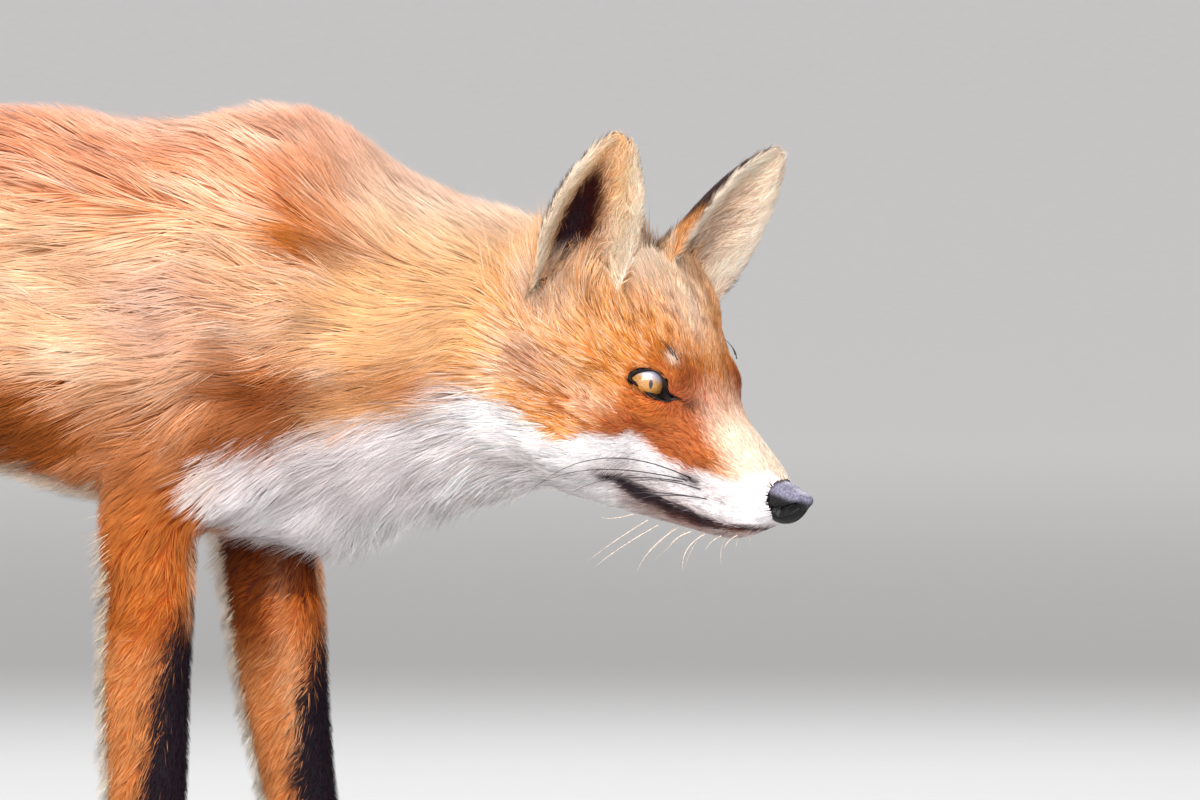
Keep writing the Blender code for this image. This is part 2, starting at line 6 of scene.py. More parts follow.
import bmesh
import bpy
import numpy as np
from bpy.props import FloatProperty, FloatVectorProperty, IntProperty, PointerProperty
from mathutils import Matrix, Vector
from mathutils.bvhtree import BVHTree
from mathutils.kdtree import KDTree

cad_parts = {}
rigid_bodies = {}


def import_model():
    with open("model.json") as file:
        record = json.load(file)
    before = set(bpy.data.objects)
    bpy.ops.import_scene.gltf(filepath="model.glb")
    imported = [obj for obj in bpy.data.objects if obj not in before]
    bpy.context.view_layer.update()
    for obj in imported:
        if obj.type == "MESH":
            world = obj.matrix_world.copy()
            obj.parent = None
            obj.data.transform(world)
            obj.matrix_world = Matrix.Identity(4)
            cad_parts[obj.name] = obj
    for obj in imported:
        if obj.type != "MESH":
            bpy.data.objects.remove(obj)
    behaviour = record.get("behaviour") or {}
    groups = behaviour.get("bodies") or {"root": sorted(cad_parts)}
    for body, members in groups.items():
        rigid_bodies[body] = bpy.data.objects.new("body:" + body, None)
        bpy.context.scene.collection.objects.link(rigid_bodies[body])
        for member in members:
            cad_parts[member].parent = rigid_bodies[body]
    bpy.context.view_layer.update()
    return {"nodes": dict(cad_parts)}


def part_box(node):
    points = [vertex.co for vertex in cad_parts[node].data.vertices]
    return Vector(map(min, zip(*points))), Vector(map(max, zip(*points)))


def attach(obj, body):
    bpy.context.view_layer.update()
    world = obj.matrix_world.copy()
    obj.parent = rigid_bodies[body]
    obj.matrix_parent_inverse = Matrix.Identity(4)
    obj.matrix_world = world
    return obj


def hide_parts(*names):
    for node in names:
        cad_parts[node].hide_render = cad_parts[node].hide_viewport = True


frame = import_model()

bl_info = {
    "name": "Red fox",
    "version": (1, 0, 0),
    "blender": (4, 5, 0),
    "location": "View3D > Sidebar > Fox",
    "description": "Skin, coat, eyes and nose of a standing red fox",
    "category": "Add Mesh",
}

MM = 0.001
SIDES = {"left": -1, "right": 1}

# The head's own axes: forward to the nose, out to the right ear, and up.
TURN, DROP = math.radians(22), math.radians(24)
LEVEL = math.cos(DROP)
FORWARD = Vector((LEVEL * math.cos(TURN), -LEVEL * math.sin(TURN), -math.sin(DROP)))
RIGHT = Vector((-math.sin(TURN), -math.cos(TURN), 0))
UP = RIGHT.cross(FORWARD)
HEAD_AXES = np.array([FORWARD, RIGHT, UP])


def middle(node):
    low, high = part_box(node)
    return (low + high) / 2


# Midway between the eyes, and below it the ground point from which lengths along the body count.
BROW = (middle("eye_left") + middle("eye_right")) / 2 + FORWARD * 7.6 * MM + UP * 0.4 * MM
ORIGIN = BROW - Vector((0.2266, -0.025, 0.2517))

FLESH = [name for name in frame["nodes"] if not name.startswith(("eye_", "nose"))]


# ---------------------------------------------------------------- sizes and colours


def linear(red, green, blue):
    """A colour in 0-255 steps as the linear values that a shader takes."""
    steps = np.array([red, green, blue]) / 255
    curved = ((steps + 0.055) / 1.055) ** 2.4
    return tuple(float(v) for v in np.where(steps <= 0.04045, steps / 12.92, curved))


def size(name, default, description, low=0.0):
    return FloatProperty(
        name=name, description=description, default=default, min=low, subtype="DISTANCE", unit="LENGTH"
    )


def tint(name, steps, description):
    return FloatVectorProperty(
        name=name, description=description, default=linear(*steps), size=3, min=0, max=1, subtype="COLOR"
    )


class FoxSizes(bpy.types.PropertyGroup):
    grid: size("Skin grid", 1.8 * MM, "Grid on which the pieces of flesh are fused into one skin")
    eyeball: size("Eyeball", 10.3 * MM, "Radius of each eyeball")
    back_coat: size("Back coat", 25 * MM, "Length of the coat along the back")
    flank_coat: size("Flank coat", 31 * MM, "Length of the coat on the flanks and neck")
    throat_coat: size("Throat coat", 27 * MM, "Length of the coat on the throat and chest")
    leg_coat: size("Leg coat", 6 * MM, "Length of the coat on the legs")
    paw_coat: size("Paw coat", 5 * MM, "Length of the coat on the paws")
    muzzle_coat: size("Muzzle coat", 4.2 * MM, "Length of the coat on the muzzle")
    cheek_coat: size("Cheek coat", 17 * MM, "Length of the coat at the back of the cheek")
    ear_coat: size("Ear coat", 4.5 * MM, "Length of the coat on the ears")
    tail_coat: size("Tail coat", 42 * MM, "Length of the coat on the brush")
    whisker: size("Whisker", 0.5 * MM, "Thickness of a whisker at its root")
    fullness: FloatProperty(
        name="Fullness", description="Share of the tufts grown", default=1.0, min=0.05, max=1.2
    )
    seed: IntProperty(
        name="Seed", description="Start of the random numbers for the tufts", default=11, min=0
    )


class FoxColours(bpy.types.PropertyGroup):
    back: tint("Back", (218, 138, 100), "Rosy orange of the back")
    flank: tint("Flank", (246, 190, 148), "Straw gold of the flanks")
    neck: tint("Neck", (243, 181, 124), "Gold of the neck's side")
    brow: tint("Brow", (217, 134, 47), "Bright gold of the brow and cheek")
    orange: tint("Orange", (190, 105, 42), "Fox orange of the legs")
    rust: tint("Rust", (172, 93, 60), "Rust of the muzzle's side")
    amber: tint("Burnt orange", (200, 108, 30), "Patch before the shoulder")
    brown: tint("Brown", (124, 60, 18), "Shaded underside and streaks")
    cream: tint("Cream", (254, 230, 208), "Bridge of the nose and ear edges")
    white: tint("White", (250, 244, 246), "Lips, cheek, throat and tail tip")
    # Grey serves grey patches and underfur, and painted shade on the upper chest and under the jaw.
    grey: tint("Grey", (204, 186, 184), "Underfur of the chest")
    lining: tint("Ear lining", (250, 200, 150), "Warm tan inside the ear")
    black: tint("Black", (38, 27, 36), "Stockings, ear backs and lips")
    # Painted shade under the body on the forelegs, and partly in the ears' hollows.
    depth_and_shade_brown: tint("Ear brown", (60, 14, 6), "Depth of the ear")
    iris: tint("Iris", (202, 146, 72), "Amber of the eye")
    # A painted reflection of the sky on the upper iris.
    sky_reflection: tint("Glint", (176, 188, 214), "Pale blue of the upper iris")
    # Painted reflection of the sky on the top of the nose.
    nose_sky_sheen: tint("Bloom", (120, 117, 138), "Dull blue-grey top of the nose")
    leather: tint("Leather", (16, 12, 17), "Nose, lids and pads")


def palette(name):
    return np.array(getattr(bpy.context.scene.fox_colours, name))


def length_of(name):
    return getattr(bpy.context.scene.fox_sizes, name) / MM


# ---------------------------------------------------------------- places and fields


def body_place(points):
    """Millimetres along the body, to its left, and above the ground."""
    return (points - np.array(ORIGIN)) / MM


def head_place(points):
    """Millimetres forward, rightward and up from between the eyes."""
    return (points - np.array(BROW)) @ HEAD_AXES.T / MM


def from_head(forward, right, up):
    return BROW + (FORWARD * forward + RIGHT * right + UP * up) * MM


def rise(low, high, value):
    """Nought below low and one above high, with a smooth climb between them."""
    t = np.clip((value - low) / (high - low), 0, 1)
    return t * t * (3 - 2 * t)


def near(points, centre, radii):
    """One at the centre, falling smoothly to a fifth at the radii and to nought beyond them."""
    d = (points - np.array(centre)) / np.array(radii)
    return np.exp(-1.6 * (d * d).sum(axis=1))


def waver(points, scale, seed):
    """Slow, seeded unevenness between about -1 and 1. The scale is in millimetres."""
    source = np.random.default_rng(seed)
    total = np.zeros(len(points))
    for _ in range(5):
        wave = source.normal(size=3)
        wave *= (2 * math.pi / scale) * source.uniform(0.6, 1.5) / np.linalg.norm(wave)
        total += np.sin(points @ wave + source.uniform(0, 6.3))
    return total / 2.6


def unit(vectors):
    return vectors / np.maximum(np.linalg.norm(vectors, axis=1, keepdims=True), 1e-9)


def flatten(vectors, normals):
    """The part of each vector that lies in the surface."""
    return unit(vectors - normals * (vectors * normals).sum(axis=1, keepdims=True))


class Ear:
    """One ear's cup: places on it as the share of its height, the share across, and inside or outside."""

    def __init__(self, side):
        sign = SIDES[side]
        foot, tip = (((-50, 38, 22), (-36, 56.5, 99)), ((-51, 31, 22), (-32, 61, 94)))[side == "left"]
        opens = math.radians(36 if side == "right" else -8)
        self.foot = np.array(foot, float) * (1, sign, 1)
        tip = np.array(tip, float) * (1, sign, 1)
        self.height = np.linalg.norm(tip - self.foot)
        self.along = (tip - self.foot) / self.height
        facing = np.array((math.cos(opens), sign * math.sin(opens), 0))
        facing -= self.along * facing.dot(self.along)
        self.facing = facing / np.linalg.norm(facing)
        self.across = np.cross(self.along, self.facing)
        self.sign = sign

    def place(self, head_points, head_normals):
        offset = head_points - self.foot
        share = offset @ self.along / self.height
        level = np.clip(share, 0, 0.97)
        taper = np.maximum((level - 0.15) / 0.85, 0)
        half = 31.5 * (1 - taper**1.9) ** 0.8
        roll = np.radians(98 * (1 - level) + 40 * level)
        radius = np.maximum(half / roll, 2)
        depth = offset @ self.facing + 17 * level * (1 - level)
        side = offset @ self.across
        turned = np.arctan2(side, radius - depth) / roll
        inward = (radius - depth)[:, None] * self.facing - side[:, None] * self.across
        inside = (head_normals * inward).sum(axis=1) > 0
        return share, turned, inside


EARS = {side: Ear(side) for side in SIDES}


def markings(points, normals, kinds):
    """The coat's colour at places on the body, the same for skin and tufts, with painted shade and light
    where marked.
    """
    # Along, left and above the ground on the body; forward, right and up on the head.
    body, head = body_place(points), head_place(points)
    x, y, z = body.T
    f, r, u = head.T
    flank = np.column_stack((x, np.abs(y), z))
    mirrored = np.column_stack((f, np.abs(r), u))
    slow, quick = waver(body, 60, 3), waver(body, 16, 4)
    z = z + 3 * slow + 1.5 * quick
    colour = np.tile(palette("flank"), (len(points), 1))
    streak = waver(body * (0.3, 1, 1), 17, 5)

    def mix(name, share):
        nonlocal colour
        share = np.clip(share, 0, 1)[:, None]
        colour = colour * (1 - share) + palette(name) * share

    def spots(places, *rows):
        """Soft spots, each with its colour, centre, radii and strength."""
        for name, centre, radii, share in rows:
            mix(name, near(places, centre, radii) * share)

    # The trunk and neck: rosy above, straw on the flanks and gold on the neck, with a burnt patch.
    trunk = kinds["trunk"] | kinds["neck"] | kinds["thigh"] | kinds["upper_arm"]
    mix("back", rise(308, 350, z) * 0.9)
    # Painted highlight: paler cream on the top of the withers, where the light from above falls.
    mix("cream", rise(336, 362, z) * near(flank, (30, 0, 350), (70, 60, 60)) * 0.4)
    mix("neck", rise(60, 90, x) * (1 - rise(300, 330, z)) * 0.85)
    spots(flank, ("orange", (122, 50, 250), (34, 40, 14), 0.75))
    # Painted shade under the body: darker orange, then brown, down the underside of the trunk, partly the
    # coat's own darker orange.
    mix("orange", (1 - rise(228, 262, z)) * (1 - rise(60, 90, x)) * 0.75)
    under = np.interp(x, (-320, -200, -61, -35, -22, 10, 40), (250, 262, 264, 248, 234, 215, 200))
    mix("orange", (1 - rise(under - 16, under + 6, z)) * kinds["trunk"] * 0.9)
    mix("brown", (1 - rise(under - 26, under + 2, z)) * kinds["trunk"] * 0.75)
    # Painted shade low on the trunk behind the elbow: spots of orange and brown.
    spots(
        flank,
        ("orange", (60, 55, 252), (34, 40, 18), 0.9),
        ("brown", (58, 58, 246), (44, 30, 16), 1.1),
        ("brown", (42, 58, 266), (13, 30, 24), 0.65),
    )
    mix("grey", near(flank, (10, 60, 281), (26, 40, 27)) * 0.6 * rise(-1.2, 0.3, streak))
    spots(
        flank,
        ("orange", (20, 58, 280), (36, 40, 30), 0.35),
        ("amber", (74, 50, 318), (24, 45, 24), 1.45),
        ("brown", (90, 48, 305), (28, 40, 10), 0.7),
        # Painted shade under the belly behind the forelegs.
        ("brown", (0, 58, 212), (24, 30, 24), 0.65),
    )
    locks = waver(body * (0.55, 1, 1), 22, 13)
    mix("cream", rise(0.3, 1.3, locks) * kinds["trunk"] * rise(240, 262, z) * 0.4)
    mix("orange", rise(0.4, 1.4, -locks) * kinds["trunk"] * 0.3)
    mix("cream", rise(60, 120, x) * rise(296, 330, z) * 0.5)
    # Thighs, legs and paws.
    limbs = kinds["foreleg"] | kinds["hindleg"] | kinds["forepaw"] | kinds["hindpaw"]
    mix("orange", np.maximum(limbs, kinds["upper_arm"] * (1 - rise(186, 226, z)) * 0.9))
    mix("orange", kinds["thigh"] * (0.35 + 0.5 * (1 - rise(200, 290, z))))
    # The white underside, from the throat back between the legs.
    along = (14, 24, 30, 46, 58, 68, 98, 134, 170)
    border = np.interp(x, along, (196, 211, 219, 222, 221, 226, 233, 241, 250))
    mix("brown", np.exp(-(((z - border - 7) / 9) ** 2)) * rise(10, 30, x) * rise(84, 60, x) * 0.85)
    chest = (1 - rise(border - 5, border + 5, z)) * rise(12, 24, x + 0.35 * (z - 200))
    hem = np.where(y > 0, 188, np.interp(x, (12, 24, 36, 54), (206, 197, 183, 165)))
    chest = chest * np.where(kinds["upper_arm"], rise(hem - 3, hem + 3, z + 3 * quick), 1)
    mix("white", chest * (kinds["trunk"] | kinds["neck"] | kinds["upper_arm"]))
    # Painted shade under the head, with the grey underfur: the chest greyer towards the throat.
    mix("grey", chest * trunk * (0.05 + 0.45 * rise(194, 212, z)))
    mix("neck", chest * near(flank, (26, 50, 214), (16, 40, 30)) * 0.3)
    belly = (1 - rise(-0.93, -0.8, normals[:, 2])) * (1 - rise(10, 30, x)) * trunk
    mix("cream", belly * 0.9)
    inner = rise(0.3, 0.8, -normals[:, 1] * np.sign(y)) * (kinds["thigh"] | kinds["hindleg"])
    mix("cream", inner * 0.7)
    # The legs: cream behind, partly painted rim light; brown within, painted shade under the body; and black
    # down the front and over the paws.
    fore = kinds["foreleg"] | kinds["forepaw"] | kinds["upper_arm"]
    hind = kinds["hindleg"] | kinds["hindpaw"]
    right_shin = np.interp(z, (50, 119, 192), (1, -1, 1))
    left_shin = np.interp(z, (52, 85, 119, 192), (53, 45, 39.5, 32))
    ahead = x - np.where(y < 0, right_shin, left_shin)
    upper = fore * (1 - rise(175, 190, z)) * rise(45, 60, z)
    within = fore * rise(0, 0.4, -normals[:, 1] * np.sign(y))
    # Painted shade under the body: brown, darker near the top, on the inner side of the forelegs.
    mix("brown", within * rise(112, 160, z) * (1 - chest) * 0.95)
    mix("depth_and_shade_brown", within * rise(148, 186, z) * (1 - chest) * 0.52)
    mix("flank", within * near(np.column_stack((ahead, y * 0, z)), (6, 0, 105), (6, 1, 60)) * 0.6)
    mix("neck", upper * (1 - rise(130, 150, z)) * 0.3)
    # Cream on the rear of the forelegs: partly pale hair, partly painted rim light from behind.
    mix("cream", rise(-0.84, -0.97, normals[:, 0]) * upper)
    mix("flank", rise(0.88, 0.98, normals[:, 0]) * upper * rise(130, 150, z) * 0.6)
    start = np.where(y < 0, 14 - (160 - z) * 0.17, 18 - (141 - z) * 0.31)
    ragged = ahead + 2.5 * quick + 2.2 * waver(body, 4, 14)
    mix("black", rise(-4, 3, ragged - start) * fore * (1 - rise(140, 168, z + 8 * quick)))
    mix("black", (1 - rise(34, 62, z + 5 * quick)) * (fore | hind) * 0.97)
    front = rise(0.1, 0.6, normals[:, 0])
    mix("black", front * hind * (1 - rise(80, 120, z + 8 * quick)) * 0.9)
    colour = colour * np.exp(0.1 * streak * kinds["trunk"] + 0.08 * streak * kinds["neck"])[:, None]
    # The brush: dusky above, with a white tip.
    tail = kinds["tail"] | kinds["tail_tip"]
    mix("orange", tail * 0.55)
    mix("brown", tail * rise(-0.2, 0.7, normals[:, 2] - normals[:, 0]) * 0.35)
    tip = rise(-6, 6, 0.75 * (-486 - x) + 0.66 * (94 - z) + 5 * quick)
    mix("white", tail * tip)

    # The head, in its own axes.
    face = rise(-80, -60, f) * (kinds["head"] | kinds["neck"] | kinds["lower_jaw"])
    behind = colour
    colour = np.tile(palette("brow"), (len(points), 1))
    bars = waver(head * (0.28, 1, 1), 6.5, 9)
    mix("neck", rise(4, -26, f) * 0.3)
    spots(
        mirrored,
        ("cream", (-8, 0, 28), (26, 17, 15), 0.6),
        ("cream", (-46, 52, 16), (22, 14, 11), 0.45),
        ("cream", (-54, 44, 20), (14, 16, 15), 0.45),
        ("orange", (-20, 46, -20), (30, 25, 11), 0.75),
        ("orange", (-2, 28, 14), (14, 14, 12), 0.55),
        ("grey", (-42, 54, -8), (20, 20, 13), 0.4),
        ("brown", (-42, 54, -8), (20, 20, 13), 0.32 + 0.4 * quick),
        ("brown", (-48, 50, 14), (9, 14, 8), 0.55),
        ("cream", (-56, 52, -20), (8, 14, 26), 0.5),
        ("cream", (-14, 40, -14), (12, 16, 7), 0.5),
    )
    cheeks = rise(14, -6, f) * rise(-44, -34, u)
    mix("brown", rise(0.2, 1.1, bars) * cheeks * 0.6)
    mix("neck", rise(0.2, 1.1, -bars) * cheeks * 0.6)
    frost = rise(0.1, 0.9, waver(head * (0.4, 1, 0.7), 8, 8))
    mix("cream", frost * near(mirrored, (-14, 12, 28), (26, 15, 16)) * 0.65)
    spots(mirrored, ("cream", (-46, 10, 36), (30, 32, 15), 0.8))
    # Rust beside the muzzle, dusky round the inner side of the eye, and a pale bridge.
    mix("rust", rise(-14, 4, f) * rise(16, 0, u) * (0.8 - 0.5 * rise(26, 44, f)))
    spots(
        mirrored,
        ("brown", (3, 24, 15), (11, 8, 7), 0.5),
        ("brown", (13, 19, 9), (7, 5, 8), 0.6),
        ("brown", (22, 17, 0), (8, 6, 8), 0.5),
        ("brown", (8, 24, -14), (16, 12, 6), 0.3),
        ("rust", (12, 14, 6), (14, 12, 14), 0.7),
        ("orange", (4, 28, -10), (14, 12, 7), 0.7),
    )
    ridge = np.interp(f, (-10, 11, 20, 30, 48, 66), (28, 12, 4.5, -2, -9, -18))
    bridge = rise(10, 44, f) * rise(-15, -1, u - ridge + 0.12 * (f - 30))
    mix("cream", bridge)
    mix("cream", rise(32, 58, f) * 0.85)
    mix("neck", bridge * 0.1)
    # The white of lips, cheek and throat.
    ahead = (-60, -42, -18, -3, 8, 18, 27, 40, 55, 70)
    border = np.interp(f, ahead, (-31, -32, -35, -25, -21, -26, -29, -24, -17, -12))
    mix("brown", np.exp(-(((u - border - 4) / 4) ** 2)) * rise(-12, 4, f) * rise(44, 30, f) * 0.3)
    low = 1 - rise(border - 3, border + 3, u + 1.6 * quick)
    mix("white", low)
    # Painted shade under the back of the jaw: grey over the white.
    mix("grey", low * near(mirrored, (-60, 40, -58), (26, 40, 12)) * 0.4)
    # The dark line of the mouth.
    ahead = (-4, 2, 10, 24, 38, 52, 61, 70)
    seam = np.interp(f, ahead, (-41.5, -42.8, -44.6, -44.8, -44.6, -41.6, -37.8, -33))
    band = np.interp(f, (-6, -1, 6, 24, 36, 48, 60, 66), (0.1, 2.5, 4.6, 4.3, 3.3, 1.9, 1.1, 0.4))
    band = band * (1 + 0.22 * waver(head, 7, 6))
    off = u - seam + 1.2
    mix("grey", (1 - rise(-2, 1, off)) * rise(-6, 6, f) * 0.5)
    mix("brown", (1 - rise(-2, 1, off)) * rise(-6, 12, f) * 0.2)
    mix("brown", np.exp(-((off / (band * 1.8)) ** 2)) * rise(-8, 2, f) * 0.5)
    mix("black", np.exp(-((off / band) ** 4)) * rise(-6, 0, f) * 0.97)
    spots(
        mirrored,
        ("rust", (54, 8, -43), (12, 8, 2.5), 0.35),
        ("brown", (30, 10, -51), (34, 12, 5), 0.4),
        ("black", (30, 18.5, -30), (6.5, 5, 3.0), 1.1),
    )
    # Rows of dark specks where the whiskers root.
    specks = rise(-0.6, 0.6, waver(head, 4, 12))
    for row in (-33, -36.5, -40):
        mix("black", near(mirrored, (42, 16, row), (13, 7, 0.8)) * specks * 0.6)
    spots(
        mirrored,
        ("brown", (42, 17, -31), (12, 6, 4), 0.25),
        ("brown", (34, 18, -21), (11, 7, 6), 0.35),
        ("black", (17.5, 19, -2), (5, 5, 3.2), 0.6),
        ("brown", (12, 20, 6), (5, 6, 7), 0.7),
        ("cream", (4, 22, 13.5), (3.4, 4, 3), 0.9),
        ("brown", (10, 9, 16), (3, 2.4, 9), 0.55),
        ("brown", (7, 17, 12), (5, 2.6, 6), 0.6),
    )
    for side in SIDES:
        out, nose_ward, down = eye_local(points, side).T
        rim = (out > 0) & (np.abs(nose_ward) < 18)
        mix("leather", rim * rise(1.0, 0.9, lid_share(nose_ward, down)))
    spots(mirrored, ("black", (-33, 44, 25), (6, 7, 4), 0.65))
    colour = behind * (1 - face[:, None]) + colour * face[:, None]

    # The ears: tan within and darkest in the depth, partly painted shade in the hollow; gold behind with a
    # black back, and cream at the edge.
    for side_name, ear in EARS.items():
        share, turned, inside = ear.place(head, normals @ HEAD_AXES.T)
        on_ear = kinds["ear_" + side_name]
        right = side_name == "right"
        mix("lining", on_ear * 1.0)
        mix("brow", on_ear * ~inside * 0.8)
        across = np.abs(turned)
        mix("cream", on_ear * inside * rise(0.55, 1.0, across) * 0.7)
        mix("brown", on_ear * inside * rise(0.72, 0.98, share) * 0.3)
        pale = near_turn(share, turned, 0.3, -0.5 * ear.sign, 0.3, 0.3) * 0.4
        mix("cream", on_ear * inside * (pale if right else np.maximum(pale, 0.75)))
        # Painted shade in the ear's hollow, mixed with its own dark: brown to black in the depth, weaker in
        # the far ear.
        deep = 1.0 if right else 0.45
        for name, high, turn, tall, wide, strength in (
            ("brown", 0.34, 0.1, 0.5, 0.62, 0.7),
            ("depth_and_shade_brown", 0.36, 0.16, 0.42, 0.42, 1.5),
            ("black", 0.3, 0.2, 0.3, 0.26, 0.8),
        ):
            dark = near_turn(share, turned, high, turn * ear.sign, tall, wide)
            mix(name, on_ear * inside * dark * strength * deep**2)
        mix("neck", on_ear * (1 - rise(0.08, 0.26, share)) * np.where(inside, 0.7, 1.0))
        mix("cream", on_ear * (1 - rise(0.05, 0.3, share)) * np.where(inside, 0.45, 0.1))
        root = (0.17 if right else 0.07) + 0.16 * rise(-0.2, -0.8, turned * ear.sign)
        mix("black", on_ear * ~inside * rise(0.04 + root, 0.28 + root, share + 0.05 * quick) * 0.97)
        rim = rise(0.9, 0.98, across) * rise(0.2, 0.4, share)
        mix("cream", on_ear * rim * (0.45 + 0.4 * quick))
    return np.clip(colour, 0, 1)


def near_turn(share, turned, at_share, at_turn, tall, wide):
    """One at a place on an ear's cup, and a fifth at the height and width given from it."""
    d = ((share - at_share) / tall) ** 2 + ((turned - at_turn) / wide) ** 2
    return np.exp(-1.6 * d * d)


# ---------------------------------------------------------------- meshes


def clear_selection():
    for obj in bpy.context.view_layer.objects:
        obj.select_set(False)


def make_active(obj):
    clear_selection()
    obj.select_set(True)
    bpy.context.view_layer.objects.active = obj


def apply_modifier(obj, kind, **settings):
    make_active(obj)
    step = obj.modifiers.new(kind.lower(), kind)
    for key, value in settings.items():
        setattr(step, key, value)
    bpy.ops.object.modifier_apply(modifier=step.name)


def points_of(mesh):
    points = np.empty(len(mesh.vertices) * 3, np.float32)
    mesh.vertices.foreach_get("co", points)
    return points.reshape(-1, 3).astype(np.float64)


def normals_of(mesh):
    normals = np.empty(len(mesh.vertices) * 3, np.float32)
    mesh.vertex_normals.foreach_get("vector", normals)
    return normals.reshape(-1, 3).astype(np.float64)


def triangles_of(mesh):
    mesh.calc_loop_triangles()
    faces = np.empty(len(mesh.loop_triangles) * 3, np.int32)
    mesh.loop_triangles.foreach_get("vertices", faces)
    return faces.reshape(-1, 3)


def edges_of(mesh):
    edges = np.empty(len(mesh.edges) * 2, np.int32)
    mesh.edges.foreach_get("vertices", edges)
    return edges.reshape(-1, 2)


def spread(values, edges, rounds):
    """Evens a field out over a mesh by sharing it with neighbours."""
    flat = values.ndim == 1
    values = values[:, None] if flat else values
    count = np.bincount(edges.ravel(), minlength=len(values))[:, None] + 1.0
    for _ in range(rounds):
        total = values.copy()
        for axis in range(values.shape[1]):
            total[:, axis] += np.bincount(edges[:, 0], values[edges[:, 1], axis], len(values))
            total[:, axis] += np.bincount(edges[:, 1], values[edges[:, 0], axis], len(values))
        values = total / count
    return values[:, 0] if flat else values


def link(obj):
    bpy.context.scene.collection.objects.link(obj)
    return obj


def mesh_from(name, points, faces):
    """A smooth mesh of triangles from arrays."""
    mesh = bpy.data.meshes.new(name)
    mesh.vertices.add(len(points))
    mesh.vertices.foreach_set("co", np.asarray(points, np.float32).ravel())
    mesh.loops.add(faces.size)
    mesh.loops.foreach_set("vertex_index", np.asarray(faces, np.int32).ravel())
    mesh.polygons.add(len(faces))
    mesh.polygons.foreach_set("loop_start", np.arange(0, faces.size, 3, dtype=np.int32))
    mesh.update(calc_edges=True)
    mesh.shade_smooth()
    return mesh


def paint(mesh, name, colours):
    layer = mesh.attributes.new(name, "FLOAT_COLOR", "POINT")
    values = np.ones((len(mesh.vertices), 4), np.float32)
    values[:, :3] = colours
    layer.data.foreach_set("color", values.ravel())


def finish_normals(obj):
    shape = bmesh.new()
    shape.from_mesh(obj.data)
    bmesh.ops.recalc_face_normals(shape, faces=shape.faces)
    shape.to_mesh(obj.data)
    shape.free()


def unwrap(obj, margin=0.004):
    make_active(obj)
    bpy.ops.object.mode_set(mode="EDIT")
    bpy.ops.mesh.select_all(action="SELECT")
    bpy.ops.uv.smart_project(angle_limit=1.15, island_margin=margin)
    bpy.ops.object.mode_set(mode="OBJECT")
    obj.data.uv_layers[0].name = "OFBake"


def ring_walls(rings, sides, closed=False):
    """Triangles between neighbouring rings of points, and from the last ring to the first where closed."""
    faces = []
    for k in range(rings if closed else rings - 1):
        for i in range(sides):
            a, b = k * sides + i, k * sides + (i + 1) % sides
            c, d = (k + 1) % rings * sides + i, (k + 1) % rings * sides + (i + 1) % sides
            faces.append((a, b, d))
            faces.append((a, d, c))
    return faces


def spike_faces(rings, sides):
    """Faces of a closed spike: its walls, and fans to the root's and the tip's points, which come last."""
    faces = ring_walls(rings, sides)
    root, tip, last = rings * sides, rings * sides + 1, (rings - 1) * sides
    for i in range(sides):
        faces += [(root, (i + 1) % sides, i), (tip, last + i, last + (i + 1) % sides)]
    return np.array(faces)


def finish_piece(obj, slot, *nodes):
    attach(obj, "root")
    if nodes:
        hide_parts(*nodes)
    return obj


# ---------------------------------------------------------------- skin


class Body:
    """The body's outer form and what each place on it says of its coat."""


BODY = Body()
KINDS = ("head", "lower_jaw", "neck", "trunk", "tail", "tail_tip", "ear_left", "ear_right")
KINDS += ("upper_arm", "foreleg", "forepaw", "thigh", "hindleg", "hindpaw")
# How far a tuft's root lies below the skin, and the lowest that a tuft comes to the floor.
ROOT_SINK, FLOOR_GAP = 0.25 * MM, 0.1 * MM
# Each solid swells by this many millimetres, so that the cuts between the pieces close.
SWELL = 0.32
# Behind this line, in millimetres forward of the eyes, the skin needs fewer triangles.
HEAD_END = -84


def fuse_flesh():
    """One closed form from the pieces of flesh, with eyes and nose filled in."""
    whole = bmesh.new()
    for node in frame["nodes"].values():
        piece = bmesh.new()
        piece.from_mesh(node.data)
        bmesh.ops.remove_doubles(piece, verts=piece.verts, dist=1e-6)
        piece.normal_update()
        for vertex in piece.verts:
            vertex.co += vertex.normal * SWELL * MM
        mesh = bpy.data.meshes.new("piece")
        piece.to_mesh(mesh)
        piece.free()
        whole.from_mesh(mesh)
        bpy.data.meshes.remove(mesh)
    mesh = bpy.data.meshes.new("form")
    whole.to_mesh(mesh)
    whole.free()
    form = link(bpy.data.objects.new("form", mesh))
    apply_modifier(form, "REMESH", mode="VOXEL", voxel_size=bpy.context.scene.fox_sizes.grid)
    keep_largest(form.data)
    apply_modifier(form, "SMOOTH", factor=0.5, iterations=5)
    far = head_place(points_of(form.data))[:, 0] < HEAD_END
    group = form.vertex_groups.new(name="thin")
    group.add([int(i) for i in np.flatnonzero(far)], 1, "REPLACE")
    apply_modifier(form, "DECIMATE", ratio=0.3, vertex_group="thin")
    form.vertex_groups.clear()
    return form


def keep_largest(mesh):
    """Removes all but the largest connected piece."""
    shape = bmesh.new()
    shape.from_mesh(mesh)
    left, islands = set(shape.verts), []
    while left:
        seed = left.pop()
        island, queue = [seed], [seed]
        while queue:
            for edge in queue.pop().link_edges:
                for vertex in edge.verts:
                    if vertex in left:
                        left.discard(vertex)
                        island.append(vertex)
                        queue.append(vertex)
        islands.append(island)
    islands.sort(key=len)
    bmesh.ops.delete(shape, geom=[v for island in islands[:-1] for v in island], context="VERTS")
    shape.to_mesh(mesh)
    shape.free()


